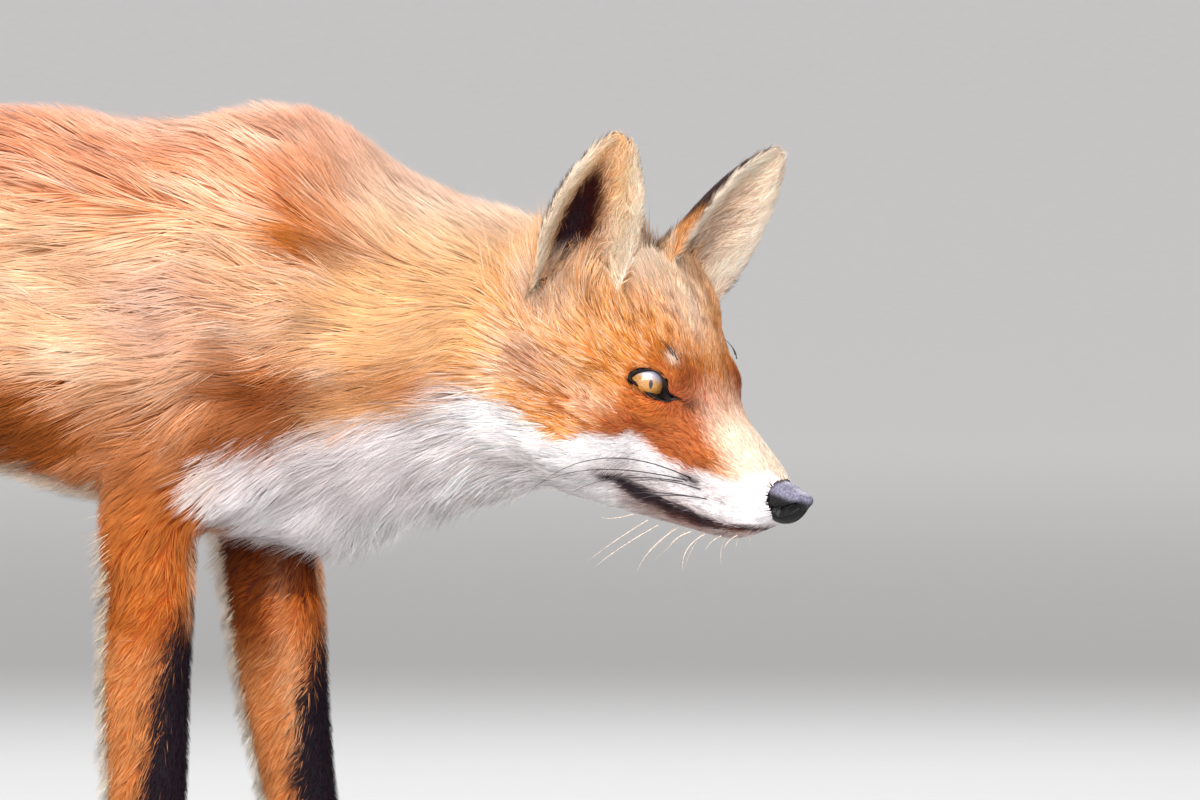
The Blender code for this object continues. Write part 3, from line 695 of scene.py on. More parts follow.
def refine_face(form):
    """Smaller triangles round the eyes, nose and mouth, where folds are small."""
    shape = bmesh.new()
    shape.from_mesh(form.data)
    bmesh.ops.triangulate(shape, faces=shape.faces)
    for reach in (1.0, 0.55):
        shape.verts.ensure_lookup_table()
        places = head_place(np.array([v.co for v in shape.verts]))
        mirrored = np.column_stack((places[:, 0], np.abs(places[:, 1]), places[:, 2]))
        eye = np.linalg.norm((mirrored - (2, 22, -1)) / (15, 12, 10), axis=1) < reach
        lips = (places[:, 0] > -12) & (np.abs(places[:, 2] + 42) < 14 * reach)
        snout = places[:, 0] > 70 - 26 * reach
        chosen = eye | lips | snout
        edges = [e for e in shape.edges if chosen[e.verts[0].index] and chosen[e.verts[1].index]]
        bmesh.ops.subdivide_edges(shape, edges=edges, cuts=1, use_grid_fill=False)
        bmesh.ops.triangulate(shape, faces=shape.faces)
    bmesh.ops.smooth_vert(shape, verts=shape.verts, factor=0.3)
    shape.to_mesh(form.data)
    shape.free()


def label_places(points):
    """The kind of flesh nearest to each point, as one mask for each kind."""
    corners, faces, owner = [], [], []
    for name in FLESH:
        mesh = frame["nodes"][name].data
        start = len(corners)
        corners += [v.co.copy() for v in mesh.vertices]
        for polygon in mesh.polygons:
            faces.append([start + i for i in polygon.vertices])
            owner.append(name)
    tree = BVHTree.FromPolygons(corners, faces)
    nearest = [owner[tree.find_nearest(Vector(p))[2]] for p in points]
    kinds = {}
    for kind in KINDS:
        names = {kind, kind + "_left", kind + "_right"} & set(FLESH)
        kinds[kind] = np.array([name in names for name in nearest])
    return kinds


def lie_of_coat(points, normals, kinds):
    """The way the coat lies at each place, along the surface."""
    body, head = body_place(points), head_place(points)
    x, y, z = body.T
    f, r, u = head.T
    outward = np.sign(y)
    way = np.zeros_like(points)

    def lay(mask, *parts):
        way[mask] = np.column_stack([np.broadcast_to(p, x.shape)[mask] for p in parts])

    high = rise(300, 350, z)
    low = 1 - rise(215, 262, z)
    ridge = near(np.column_stack((x, y * 0, z)), (66, 0, 334), (44, 1, 44))
    lay(kinds["trunk"], -1.0 + 0.5 * ridge, 0.05 * outward, -0.12 + 0.12 * high - 0.5 * low + 0.75 * ridge)
    lay(kinds["neck"], -1.0 + 0.5 * ridge, 0.05 * outward, 0.1 + 0.1 * high - 0.75 * low + 0.65 * ridge)
    lay(kinds["upper_arm"], -0.75, 0.0 * x, -0.25 - 0.6 * (1 - rise(175, 240, z)))
    lay(kinds["foreleg"], -0.62, 0.1 * outward, -0.8)
    lay(kinds["thigh"], -0.75, 0.0 * x, -0.3 - 0.5 * (1 - rise(180, 280, z)))
    lay(kinds["hindleg"], -0.4, 0.0 * x, -0.9)
    paws = kinds["forepaw"] | kinds["hindpaw"]
    lay(paws, 0.9, 0.1 * outward, -0.5)
    # The tail's middle line, along the body and above the ground.
    path = ((-318, 334), (-384, 279), (-428, 192), (-450, 146), (-478, 104), (-508, 72), (-551, 42))
    path = np.array(path, float)
    step = np.diff(path, axis=0)
    reach = np.abs(path[:-1, 1][None] - z[:, None]).argmin(axis=1)
    tail = kinds["tail"] | kinds["tail_tip"]
    lay(tail, step[reach, 0], 0.3 + 0 * x, step[reach, 1])
    # The head's coat runs back from the nose, and round the brows and cheeks.
    face = kinds["head"] | kinds["lower_jaw"]
    back = np.column_stack((f - 84, 0.9 * r, u + 26))
    back = unit(back)
    back[:, 2] += 0.22 * rise(2, 22, u) * rise(30, 0, f) - 0.3 * rise(-16, -40, u) * rise(20, -20, f)
    way[face] = (unit(back) @ HEAD_AXES)[face]
    for side in SIDES:
        axes = eye_axes(side)[1]
        local = eye_local(points, side)
        local[:, 1] -= 3.0
        gap = np.hypot(local[:, 1] * 0.62, local[:, 2])
        away = unit(local[:, [1]] * axes[1] + local[:, [2]] * axes[2])
        close = (rise(15, 7, gap) * (local[:, 0] > -4))[:, None]
        toward = np.minimum((way * away).sum(axis=1, keepdims=True), 0)
        way = way + close * (0.55 * away - toward * away)
    for side, ear in EARS.items():
        _, turned, inside = ear.place(head, normals @ HEAD_AXES.T)
        foot = near(head, ear.foot + ear.along * 6, (26, 30, 20)) * face
        climb = (ear.along + 0.25 * ear.facing)[None] @ HEAD_AXES
        way = way * (1 - foot[:, None]) + climb * (1.3 * foot[:, None])
        lean = np.where(inside, 0.45 * rise(0.05, 0.4, np.abs(turned)), 0.15) * np.sign(turned)
        grown = ear.along[None] + lean[:, None] * ear.across[None]
        grown = grown + inside[:, None] * 0.25 * ear.facing[None]
        way[kinds["ear_" + side]] = (grown @ HEAD_AXES)[kinds["ear_" + side]]
    return flatten(way, normals)


def coat_plan(points, kinds):
    """Length, depth and width of the coat in millimetres, and how proud its tips stand."""
    head = head_place(points)
    x, _, z = body_place(points).T
    f, r, u = head.T
    a = np.abs(r)
    length = np.full(len(points), length_of("flank_coat"))
    depth = np.full(len(points), 11.0)
    width = np.full(len(points), 1.3)
    stand = np.full(len(points), 0.92)

    def put(mask, long, deep, wide):
        for field, value in ((length, long), (depth, deep), (width, wide)):
            field[mask] = np.broadcast_to(value, x.shape)[mask]

    high, low = rise(320, 350, z), 1 - rise(215, 250, z)
    back, throat = length_of("back_coat"), length_of("throat_coat")
    flank = length_of("flank_coat")
    put(kinds["trunk"], flank + (back - flank) * high + (throat - flank) * low, 11 - 2 * high, 0.82)
    put(kinds["neck"], flank * (0.78 + 0.22 * rise(140, 90, x)), 11.0, 0.78)
    withers = rise(30, 4, np.abs(x - 14)) * rise(330, 352, z)
    stand += 0.28 * withers
    leg, paw = length_of("leg_coat"), length_of("paw_coat")
    put(kinds["upper_arm"], leg + (flank * 0.62 - leg) * rise(165, 230, z), 2.4 + 5 * rise(160, 215, z), 0.7)
    put(kinds["foreleg"], leg + 0.6 - rise(110, 60, z), 2.2, 0.46)
    put(kinds["hindleg"], leg + 0.6 - rise(110, 60, z), 2.2, 0.5)
    put(kinds["thigh"], leg + (flank * 0.75 - leg) * rise(170, 260, z), 3 + 6 * rise(160, 240, z), 0.78)
    put(kinds["forepaw"] | kinds["hindpaw"], paw, 1.3, 0.7)
    tail = kinds["tail"] | kinds["tail_tip"]
    thick = np.interp(x, (-551, -536, -508, -478, -450, -384, -352, -318), (7, 20, 31, 38, 40, 29, 23, 20))
    full = length_of("tail_coat")
    put(tail, full * np.interp(thick, (7, 20, 36), (0.4, 0.62, 1.0)), thick * 0.56, 1.05)
    muzzle, cheek = length_of("muzzle_coat"), length_of("cheek_coat")
    reach = muzzle + (cheek - muzzle) * rise(12, -58, f) * (0.45 + 0.55 * rise(10, 40, a))
    reach = reach + 5 * rise(-10, -50, f) * rise(-22, -40, u)
    orbit = np.linalg.norm((np.column_stack((f, a, u)) - (2, 22, -1)) / (15, 12, 11), axis=1)
    reach = np.where(orbit < 1.4, np.minimum(reach, 3.2 + 3 * rise(0.9, 1.4, orbit)), reach)
    deep = 0.7 + 0.7 * rise(24, 0, f) + 3.4 * rise(-15, -58, f)
    put(kinds["head"], reach, deep, 0.4 + 0.022 * reach)
    stand += 0.5 * rise(-44, -60, f) * kinds["head"]
    for ear in EARS.values():
        foot = near(head, ear.foot + ear.along * 4, (24, 30, 18)) * kinds["head"]
        length, stand = length + 14 * foot, stand + 2.2 * foot
    put(kinds["lower_jaw"], muzzle + 1.5 * rise(40, 5, f), 0.9, 0.55)
    for side, ear in EARS.items():
        share = ear.place(head, np.zeros_like(head) + 1)[0]
        root = rise(0.34, 0.05, share)
        put(kinds["ear_" + side], length_of("ear_coat") * (1 + 2.0 * root), 0.9 + 0.9 * root, 0.45)
    return length, depth, width, stand


class SkinMaker(bpy.types.Operator):
    """Fuses the flesh, sets it in by the coat's depth and adds the folds of the face"""

    bl_idname = "fox.skin"
    bl_label = "Skin"

    def execute(self, context):
        form = fuse_flesh()
        refine_face(form)
        mesh = form.data
        points, normals = points_of(mesh), normals_of(mesh)
        edges = edges_of(mesh)
        kinds = label_places(points)
        length, depth, width, stand = coat_plan(points, kinds)
        depth, length = spread(depth, edges, 10), spread(length, edges, 12)
        way = lie_of_coat(points, normals, kinds)
        for _ in range(8):
            way = flatten(spread(way, edges, 4), normals)
        floor = rise(0.5, 7, points[:, 2] / MM)
        depth = depth * floor
        skin = points - normals * depth[:, None] * MM
        skin = fold_face(skin, points, normals)
        points[:, 2], skin[:, 2] = np.maximum(points[:, 2], 0), np.maximum(skin[:, 2], 0)
        BODY.points, BODY.normals, BODY.kinds = points, normals, kinds
        BODY.length, BODY.depth, BODY.width, BODY.stand = length, depth, width, stand
        BODY.way, BODY.skin, BODY.faces = way, skin, triangles_of(mesh)
        BODY.tree = BVHTree.FromPolygons(points.tolist(), BODY.faces.tolist())
        BODY.skin_tree = BVHTree.FromPolygons(skin.tolist(), BODY.faces.tolist())
        mesh.vertices.foreach_set("co", skin.astype(np.float32).ravel())
        mesh.update()
        mesh.shade_smooth()
        mesh.name = form.name = "skin"
        paint(mesh, "Markings", markings(points, normals, kinds))
        unwrap(form, 0.002)
        mesh.materials.append(skin_material())
        finish_piece(form, "coat_orange", *FLESH)
        return {"FINISHED"}


def fold_face(skin, points, normals):
    """Sets the skin back behind the eyes, under the nose pad and along the mouth."""
    head = head_place(skin)
    f, _, u = head.T
    moved = np.zeros(len(skin))
    seam = np.interp(f, (-4, 2, 10, 24, 38, 52, 61, 70), (-42, -43.2, -44.8, -45, -44.8, -41.8, -38, -33))
    groove = np.exp(-(((u - seam) / 1.1) ** 2)) * rise(-6, 0, f) * (1 - rise(66, 70, f))
    moved += groove * 1.7
    moved -= np.exp(-(((u - seam - 2.2) / 1.3) ** 2)) * rise(-4, 4, f) * (1 - rise(60, 68, f)) * 0.5
    snout = np.linalg.norm((head - (65.0, 0, -23.3)) / (12.4, 10.2, 9.2), axis=1)
    moved += rise(1.12, 0.96, snout) * 5.5 * rise(58, 62, f + 0.6 * (u + 23))
    skin = skin - normals * (moved * MM)[:, None]
    for side in SIDES:
        centre, axes = eye_axes(side)
        local, form = eye_local(skin, side), eye_local(points, side)[:, 0]
        share = lid_share(local[:, 1], local[:, 2])
        under = lid_height(local[:, 1], local[:, 2], form, share) - 1.0 - 1.2 * rise(0.15, 0, share)
        sunk = (share < 0.96) & (local[:, 0] > 0) & (np.abs(local[:, 1]) < 18)
        local[:, 0] = np.where(sunk, np.minimum(local[:, 0], under), local[:, 0])
        skin = np.where(sunk[:, None], local @ axes * MM + np.array(centre), skin)
    return skin


# ---------------------------------------------------------------- eyes


def eye_axes(side):
    """The eyeball's centre, and its axes: out through the pupil, to the nose, and down."""
    sign = SIDES[side]
    turn = math.radians(40)
    out = np.array((math.cos(turn), sign * math.sin(turn), 0.04))
    out /= np.linalg.norm(out)
    along = np.array((math.sin(turn), -sign * math.cos(turn), -0.06))
    along -= out * along.dot(out)
    along /= np.linalg.norm(along)
    down = np.cross(out, along) * sign
    centre = from_head(-7.6, sign * 20.2, -0.4)
    axes = np.array([out, along, down]) @ HEAD_AXES
    return centre + Vector(axes[1]) * 0.5 * MM + Vector(axes[2]) * 0.3 * MM, axes


def eye_local(points, side):
    """Millimetres out from the eye's middle, along to the nose, and down."""
    centre, axes = eye_axes(side)
    return (points - np.array(centre)) @ axes.T / MM


# The ball is set back behind the lids, and a little to the nose.
SET_BACK, SET_ALONG = 1.5, 0.5
# The lids in the eyeball's own axes, in millimetres: along to the nose, and down.
OPENING = ((-6.9, 1.0), (-5.5, -1.7), (-3.3, -3.4), (-0.2, -4.7), (2.6, -4.3), (5.0, -2.2), (6.5, 0.8))
OPENING += ((6.9, 3.2), (4.2, 3.5), (1.2, 2.9), (-1.2, 2.4), (-3.3, 2.0), (-5.2, 1.6))
RIM = ((-9.8, 0.6), (-8.0, -2.0), (-5.6, -4.3), (-2.0, -6.0), (1.4, -6.1), (4.6, -3.9), (7.2, -0.2))
RIM += ((13.0, 0.3), (13.2, 0.9), (10.4, 1.8), (7.8, 3.7), (2.8, 4.4), (-2.4, 3.6), (-6.6, 2.5))
LID_MIDDLE = (0.8, 0.3)


def smooth_loop(corners, count):
    """A closed, rounded line through the corners (Catmull-Rom)."""
    p = np.array(corners, float)
    t = np.arange(count) * len(p) / count
    i = t.astype(int)
    s = (t - i)[:, None]
    a, b, c, d = (p[(i + k) % len(p)] for k in (-1, 0, 1, 2))
    return 0.5 * (2 * b + (c - a) * s + (2 * a - 5 * b + 4 * c - d) * s**2 + (3 * b - a - 3 * c + d) * s**3)


def lid_reach(angle):
    """How far the lids' edge, and the fur, lie from the middle of the opening at each angle."""
    reach = []
    for corners in (OPENING, RIM):
        loop = smooth_loop(corners, 120) - LID_MIDDLE
        turn = np.arctan2(loop[:, 1], loop[:, 0])
        order = turn.argsort()
        reach.append(np.interp(angle, turn[order], np.hypot(*loop[order].T), period=2 * math.pi))
    return reach


def lid_share(along, down):
    """Nought on the lids' edge, one where the fur begins, and less than nought in the opening."""
    offset = np.column_stack((along, down)) - LID_MIDDLE
    edge, fur = lid_reach(np.arctan2(offset[:, 1], offset[:, 0]))
    return (np.hypot(*offset.T) - edge) / (fur - edge)


def lid_height(along, down, form, share):
    """Height of the lids: on the eyeball at their edge, and on the body's outer form at the fur."""
    radius = bpy.context.scene.fox_sizes.eyeball / MM
    ball = np.sqrt(np.maximum(radius**2 - (along - SET_ALONG) ** 2 - down**2, 0)) - SET_BACK
    return ball + (np.maximum(form - 0.4, ball) - ball) * rise(0.0, 0.8, share)


def hides_face(points):
    """Whether places lie over the bare rim of an eye or the nose pad."""
    head = head_place(points)
    bare = np.linalg.norm((head - (66.8, 0, -23.2)) / (11.6, 9.6, 8.2), axis=1) < 1.0
    near_eye = np.abs(head[:, 0]) < 30
    for side in SIDES:
        local = eye_local(points, side)
        close = near_eye & (local[:, 0] > 0) & (np.abs(local[:, 1]) < 20)
        bare |= close & (lid_share(local[:, 1], local[:, 2]) < 0.8)
    return bare


class EyeMaker(bpy.types.Operator):
    """Makes both eyeballs, with a bulging cornea, and the dark lids round them"""

    bl_idname = "fox.eyes"
    bl_label = "Eyes and lids"

    def execute(self, context):
        for side in SIDES:
            self.ball(side)
            self.lids(side)
        return {"FINISHED"}

    def ball(self, side):
        centre, axes = eye_axes(side)
        clear_selection()
        radius = bpy.context.scene.fox_sizes.eyeball
        bpy.ops.mesh.primitive_uv_sphere_add(segments=64, ring_count=48, radius=radius)
        eye = bpy.context.active_object
        eye.name = eye.data.name = "eyeball_" + side
        points = points_of(eye.data)
        # Turn the pole to the pupil, and raise the cornea over it.
        local = points[:, [2, 0, 1]]
        across = np.hypot(local[:, 1], local[:, 2]) / MM
        bulge = 0.9 * np.exp(-((across / 5.6) ** 4)) * (local[:, 0] > 0)
        local = local * (1 + bulge[:, None] * MM / radius)
        centre = np.array(centre) + (axes[1] * SET_ALONG - axes[0] * SET_BACK) * MM
        placed = local @ axes + centre
        eye.data.vertices.foreach_set("co", placed.astype(np.float32).ravel())
        finish_normals(eye)
        eye.data.shade_smooth()
        unwrap(eye)
        eye.data.materials.append(eye_material(side, tuple(centre), axes))
        finish_piece(eye, "eye_amber", "eye_" + side)

    def lids(self, side):
        centre, axes = eye_axes(side)
        count, rows = 96, []
        angle = np.linspace(-math.pi, math.pi, count, endpoint=False)
        edge, fur = lid_reach(angle)
        # Each row: share from the lids' edge to the fur, and height over the surface.
        profile = ((0.03, -1.0), (-0.05, 0.05), (0.06, 0.4), (0.3, 0.4), (0.6, 0.2), (0.94, -0.4))
        profile += ((1.02, -1.7), (0.4, -2.4))
        for share, lift in profile:
            reach = edge + (fur - edge) * share
            along = LID_MIDDLE[0] + reach * np.cos(angle)
            down = LID_MIDDLE[1] + reach * np.sin(angle)
            form = np.array([self.form_height(centre, axes, *place) for place in zip(along, down)])
            for _ in range(3):
                form = (np.roll(form, 1) + 2 * form + np.roll(form, -1)) / 4
            height = lid_height(along, down, form, np.full(count, max(share, 0.0)))
            rows.append(np.column_stack((height + lift, along, down)))
        rings = np.array(rows)
        points = (rings.reshape(-1, 3) * MM) @ axes + np.array(centre)
        faces = np.array(ring_walls(len(rings), count, closed=True))
        lid = link(bpy.data.objects.new("lids_" + side, mesh_from("lids_" + side, points, faces)))
        finish_normals(lid)
        unwrap(lid)
        lid.data.materials.append(leather_material("lid_skin", 900, 0.42))
        finish_piece(lid, "nose_leather")

    def form_height(self, centre, axes, along, down):
        """How far the body's outer form stands out from the eye's middle at this place."""
        start = Vector(np.array((30, along, down)) * MM @ axes) + centre
        hit = BODY.tree.ray_cast(start, Vector(-axes[0]))
        return 30 - hit[3] / MM if hit[0] is not None else 0


# ---------------------------------------------------------------- nose, whiskers, pads and claws


class NoseMaker(bpy.types.Operator):
    """Makes the bare pad of the nose, with its nostrils and the groove between them"""

    bl_idname = "fox.nose"
    bl_label = "Nose"

    def execute(self, context):
        clear_selection()
        bpy.ops.mesh.primitive_uv_sphere_add(segments=96, ring_count=64, radius=1.0)
        nose = bpy.context.active_object
        nose.name = nose.data.name = "nose_pad"
        ball = points_of(nose.data)[:, [2, 0, 1]]
        forward, right, up = ball.T
        # Seen from the side: flat above, with the tip high in front, and sloping back to the lip.
        turn = np.degrees(np.arctan2(up, forward))
        angles = (-180, -90, -50, -16, 8, 24, 40, 62, 90, 180)
        sizes = (9.4, 10.8, 10.6, 10.8, 11.4, 14.8, 9.6, 7.4, 7.4, 9.4)
        reach = np.mean([np.interp(turn + step, angles, sizes) for step in (-9, -5, 0, 5, 9)], axis=0)
        level = np.hypot(forward, up) ** 0.78
        flat, steep = np.cos(np.radians(turn)), np.sin(np.radians(turn))
        wide = 8.9 * (1 - 0.2 * rise(-0.1, -1, up) - 0.2 * rise(0.3, 1, forward))
        place = np.column_stack((flat * level * reach, right * wide, steep * level * reach))
        # Nostrils, their slits, and the groove between them.
        mirrored = np.column_stack((place[:, 0], np.abs(place[:, 1]), place[:, 2]))
        high, low = np.array((8.6, 4.6, 1.6)), np.array((3.4, 7.4, -4.6))
        t = np.clip((mirrored - high) @ (low - high) / ((low - high) @ (low - high)), 0, 1)[:, None]
        gap = np.linalg.norm(mirrored - high - t * (low - high), axis=1)
        slit = np.linalg.norm((mirrored - (-1.0, 8.2, -4.6)) / (5.0, 3.0, 1.0), axis=1)
        dent = 3.4 * np.exp(-((gap / (1.7 + 0.9 * t[:, 0])) ** 4))
        dent += 1.8 * np.exp(-(slit**4))
        dent += 0.9 * np.exp(-((place[:, 1] / 0.6) ** 2)) * rise(3, -1, place[:, 2]) * rise(1, 6, place[:, 0])
        place -= unit(place) * dent[:, None]
        placed = (place * 0.95 + (65.2, 0, -23.4)) * MM @ HEAD_AXES + np.array(BROW)
        nose.data.vertices.foreach_set("co", placed.astype(np.float32).ravel())
        finish_normals(nose)
        nose.data.shade_smooth()
        unwrap(nose)
        # Painted reflection of the sky: the top of the nose pale blue-grey, fading down; none in the nostrils
        # and groove, and the rest dark leather.
        top = rise(0.8, 4.6, place[:, 2] - 0.12 * place[:, 0] + 0.4 * np.sin(1.1 * place[:, 1]))
        top = (top * (1 - rise(0.3, 1.2, dent)))[:, None]
        paint(nose.data, "Markings", palette("leather") * 0.25 * (1 - top) + palette("nose_sky_sheen") * top)
        nose.data.materials.append(leather_material("nose_skin", 1500, 0.42, marked=True))
        finish_piece(nose, "nose_leather", "nose")
        return {"FINISHED"}


def hair_line(start, reach, bow, thick, sides=5, steps=12):
    """Points and faces of one stiff hair, bowed and drawn to a tip. Lengths in millimetres on the head."""
    t = np.linspace(0, 1, steps)[:, None]
    line = np.array(start) + np.array(reach) * t + np.array(bow) * (4 * t * (1 - t))
    line = line * MM @ HEAD_AXES + np.array(BROW)
    ahead = unit(np.gradient(line, axis=0))
    flat = unit(np.cross(ahead, (0.1, 0.2, 1.0)))
    other = np.cross(ahead, flat)
    turn = np.arange(sides) * 2 * math.pi / sides
    radius = thick / 2 * (1 - 0.93 * t[:, 0] ** 2)
    ring = flat[:, None] * np.cos(turn)[None, :, None] + other[:, None] * np.sin(turn)[None, :, None]
    points = line[:, None] + ring * radius[:, None, None]
    points = np.concatenate((points.reshape(-1, 3), line[:1], line[-1:] + ahead[-1:] * thick))
    return points, spike_faces(steps, sides)


def gather(name, shapes):
    """One object from many small shapes, each given as its points and faces."""
    points, faces, start = [], [], 0
    for shape_points, shape_faces in shapes:
        points.append(shape_points)
        faces.append(shape_faces + start)
        start += len(shape_points)
    mesh = mesh_from(name, np.concatenate(points), np.concatenate(faces))
    obj = link(bpy.data.objects.new(name, mesh))
    finish_normals(obj)
    unwrap(obj)
    return obj


class WhiskerMaker(bpy.types.Operator):
    """Makes the dark whiskers of the lip and brow and the pale ones under the jaw"""

    bl_idname = "fox.whiskers"
    bl_label = "Whiskers"

    def execute(self, context):
        thick = context.scene.fox_sizes.whisker
        # Each hair: where it roots on the right side of the head, how far its tip reaches, and its bow.
        dark = (
            ((30, 18.6, -29.5), (-46, 43, -29), (-7, 3, 10)),
            ((29, 18.8, -31), (-44, 41, -23), (-6, 5, 4)),
            ((27, 19.0, -32.5), (-30, 33, -20), (-4, 4, 3)),
            ((36, 17.4, -32), (-28, 26, -14), (-3, 3, 4)),
            ((40, 16.6, -34.5), (-24, 22, -13), (-2, 2, 2)),
            ((35, 17.2, -36), (-22, 22, -9), (-2, 2, 1)),
            ((6, 21.5, 13), (-10, 1, 5), (1, 0.5, 0.5)),
            ((4, 22.5, 14), (-11, 1, 4), (1, 0.5, 0.5)),
        )
        pale = (
            ((14, 13, -56), (-16, 7, -26), (-1, 1, -1)),
            ((19, 12, -56), (-17, 8, -27), (-1, 2, -1)),
            ((28, 11, -53), (-8, 6, -24), (-2, 1, 0)),
            ((8, 15, -56), (-13, 4, -7), (-1, 1, -2)),
            ((40, 9, -50.5), (-1, 5, -17), (-3, 1, 0)),
            ((34, 10, -52), (-5, 4, -9), (-1, 1, 0)),
            ((47, 8, -48), (-3, 3, -8), (-1, 0, 0)),
            ((53, 6, -45), (-2, 3, -7), (-1, 0, 0)),
        )
        for name, hairs, share, colour, slot in (
            ("whiskers_dark", dark, 1.0, palette("black") * 0.6, "coat_black"),
            ("whiskers_pale", pale, 0.8, palette("cream") * 0.8, "coat_white"),
        ):
            shapes = []
            for sign in SIDES.values():
                for start, reach, bow in hairs:
                    ends = [np.array(v, float) * (1, sign, 1) for v in (start, reach, bow)]
                    ends[1] *= 1 if sign > 0 else 0.94
                    shapes.append(hair_line(*ends, thick * share))
            obj = gather(name, shapes)
            obj.data.materials.append(horn_material(name, colour, 0.35))
            finish_piece(obj, slot)
        return {"FINISHED"}


# Each paw's middle on the floor, its length and its width: the right and left front paws, then the hind paws.
PAWS = (
    (0.006, -0.037, 0.036, 0.035),
    (0.062, 0.034, 0.036, 0.035),
    (-0.312, -0.046, 0.035, 0.032),
    (-0.268, 0.046, 0.035, 0.032),
)
# The inner and outer toes: their place as shares of the paw's length and width.
TOES = ((0.50, 0.20), (0.27, 0.42))


class FootMaker(bpy.types.Operator):
    """Makes the pads under the paws and the claws"""

    bl_idname = "fox.feet"
    bl_label = "Pads and claws"

    def execute(self, context):
        pads, claws = [], []
        for x, y, long, wide in PAWS:
            paw = np.array(ORIGIN) + (x, y, 0)
            pads.append(self.pad(paw + (-0.001, 0, 0), (long * 0.24, wide * 0.30, 0.0040)))
            for forward, across in TOES:
                for side in (-1, 1):
                    aside = side * wide * across
                    pads.append(self.pad(paw + (long * forward, aside, 0), (0.0068, 0.0042, 0.0034)))
                    claws.append(self.claw(paw + (long * (forward + 0.02) + 0.0105, aside, 0.0088)))
        pad_skin = leather_material("pad_skin", 1200, 0.6)
        claw_horn = horn_material("claw_horn", palette("brown") * 0.22, 0.4)
        for name, shapes, material in (("paw_pads", pads, pad_skin), ("claws", claws, claw_horn)):
            obj = gather(name, shapes)
            obj.data.materials.append(material)
            finish_piece(obj, "nose_leather")
        return {"FINISHED"}

    def pad(self, centre, radii):
        """A cushion that stands flat on the floor."""
        sides, rings = 16, 8
        points = [centre + (0, 0, radii[2])]
        for k in range(1, rings):
            tilt = math.pi * k / rings
            for i in range(sides):
                turn = 2 * math.pi * i / sides
                across, level = math.sin(tilt) ** 0.7, math.cos(tilt)
                bean = 1 - 0.14 * (math.cos(turn) < -0.2) * math.cos(3 * turn) ** 2
                offset = (radii[0] * across * bean * math.cos(turn), radii[1] * across * math.sin(turn), 0)
                points.append(centre + offset + (0, 0, radii[2] * level))
        points.append(centre - (0, 0, radii[2]))
        points = np.array(points)
        points[:, 2] = np.maximum(points[:, 2] + 0.55 * radii[2], 0.00002)
        faces = [(0, 1 + i, 1 + (i + 1) % sides) for i in range(sides)]
        for k in range(rings - 2):
            for i in range(sides):
                a, b = 1 + k * sides + i, 1 + k * sides + (i + 1) % sides
                faces += [(a, a + sides, b + sides), (a, b + sides, b)]
        last = len(points) - 1
        faces += [(last, last - 1 - i, last - 1 - (i + 1) % sides) for i in range(sides)]
        return points, np.array(faces)

    def claw(self, root):
        """A curved, pointed claw reaching forward and down from its root."""
        sides, steps = 8, 7
        t = np.linspace(0, 1, steps)
        line = root + np.column_stack((0.0095 * t, 0 * t, -0.0012 * t - 0.0042 * t**2))
        radius = 0.00175 * (1 - 0.86 * t**1.2)
        turn = np.arange(sides) * 2 * math.pi / sides
        ring = np.column_stack((np.zeros(sides), 0.75 * np.cos(turn), np.sin(turn)))
        points = (line[:, None] + ring[None] * radius[:, None, None]).reshape(-1, 3)
        points = np.concatenate((points, line[:1] - (0.001, 0, 0), line[-1:] + (0.0006, 0, -0.0005)))
        return points, spike_faces(steps, sides)


# ---------------------------------------------------------------- coat


def share_of(places, faces, index):
    """Each place's shares of its triangle's corners."""
    a, b, c = (BODY.points[faces[index, k]] for k in range(3))
    ab, ac, ap = b - a, c - a, places - a
    d00, d01, d11 = (ab * ab).sum(1), (ab * ac).sum(1), (ac * ac).sum(1)
    d20, d21 = (ap * ab).sum(1), (ap * ac).sum(1)
    below = np.maximum(d00 * d11 - d01 * d01, 1e-18)
    v = np.clip((d11 * d20 - d01 * d21) / below, 0, 1)
    w = np.clip((d00 * d21 - d01 * d20) / below, 0, 1)
    return np.column_stack((np.clip(1 - v - w, 0, 1), v, w))


def blend_of(field, index, share):
    corners = field[BODY.faces[index]]
    if field.ndim == 1:
        return (corners * share).sum(axis=1)
    return (corners * share[:, :, None]).sum(axis=1)


def settle_places(places):
    """The nearest places on the body's outer form, with their triangles."""
    find = BODY.tree.find_nearest
    found = [find(p) for p in places.tolist()]
    index = np.array([hit[2] for hit in found])
    places = np.array([hit[0] for hit in found])
    return places, index, share_of(places, BODY.faces, index)


# One closed tuft: three corners round its root and one at its tip. The end and the side that face the
# skin come first. With each face, its corners' places across and along the tuft's patch.
TUFT = np.array(((0, 1, 2), (2, 0, 3), (0, 1, 3), (1, 2, 3)))
TUFT_PLACES = np.array(
    (
        ((0, 0), (0.5, 0.12), (1, 0)),
        ((1, 0), (0, 0), (0.5, 1)),
        ((0, 0), (0.5, 0), (0.25, 1)),
        ((0.5, 0), (1, 0), (0.75, 1)),
    )
)
TUFT_CORNERS, UNDER_FACES = 4, 2
# How many locks make a wisp.
WISP_LOCKS = 11
# How wide a tuft's patch is on the unwrap, and the room left at the unwrap's edge.
PATCH, EDGE = 0.003, 0.002


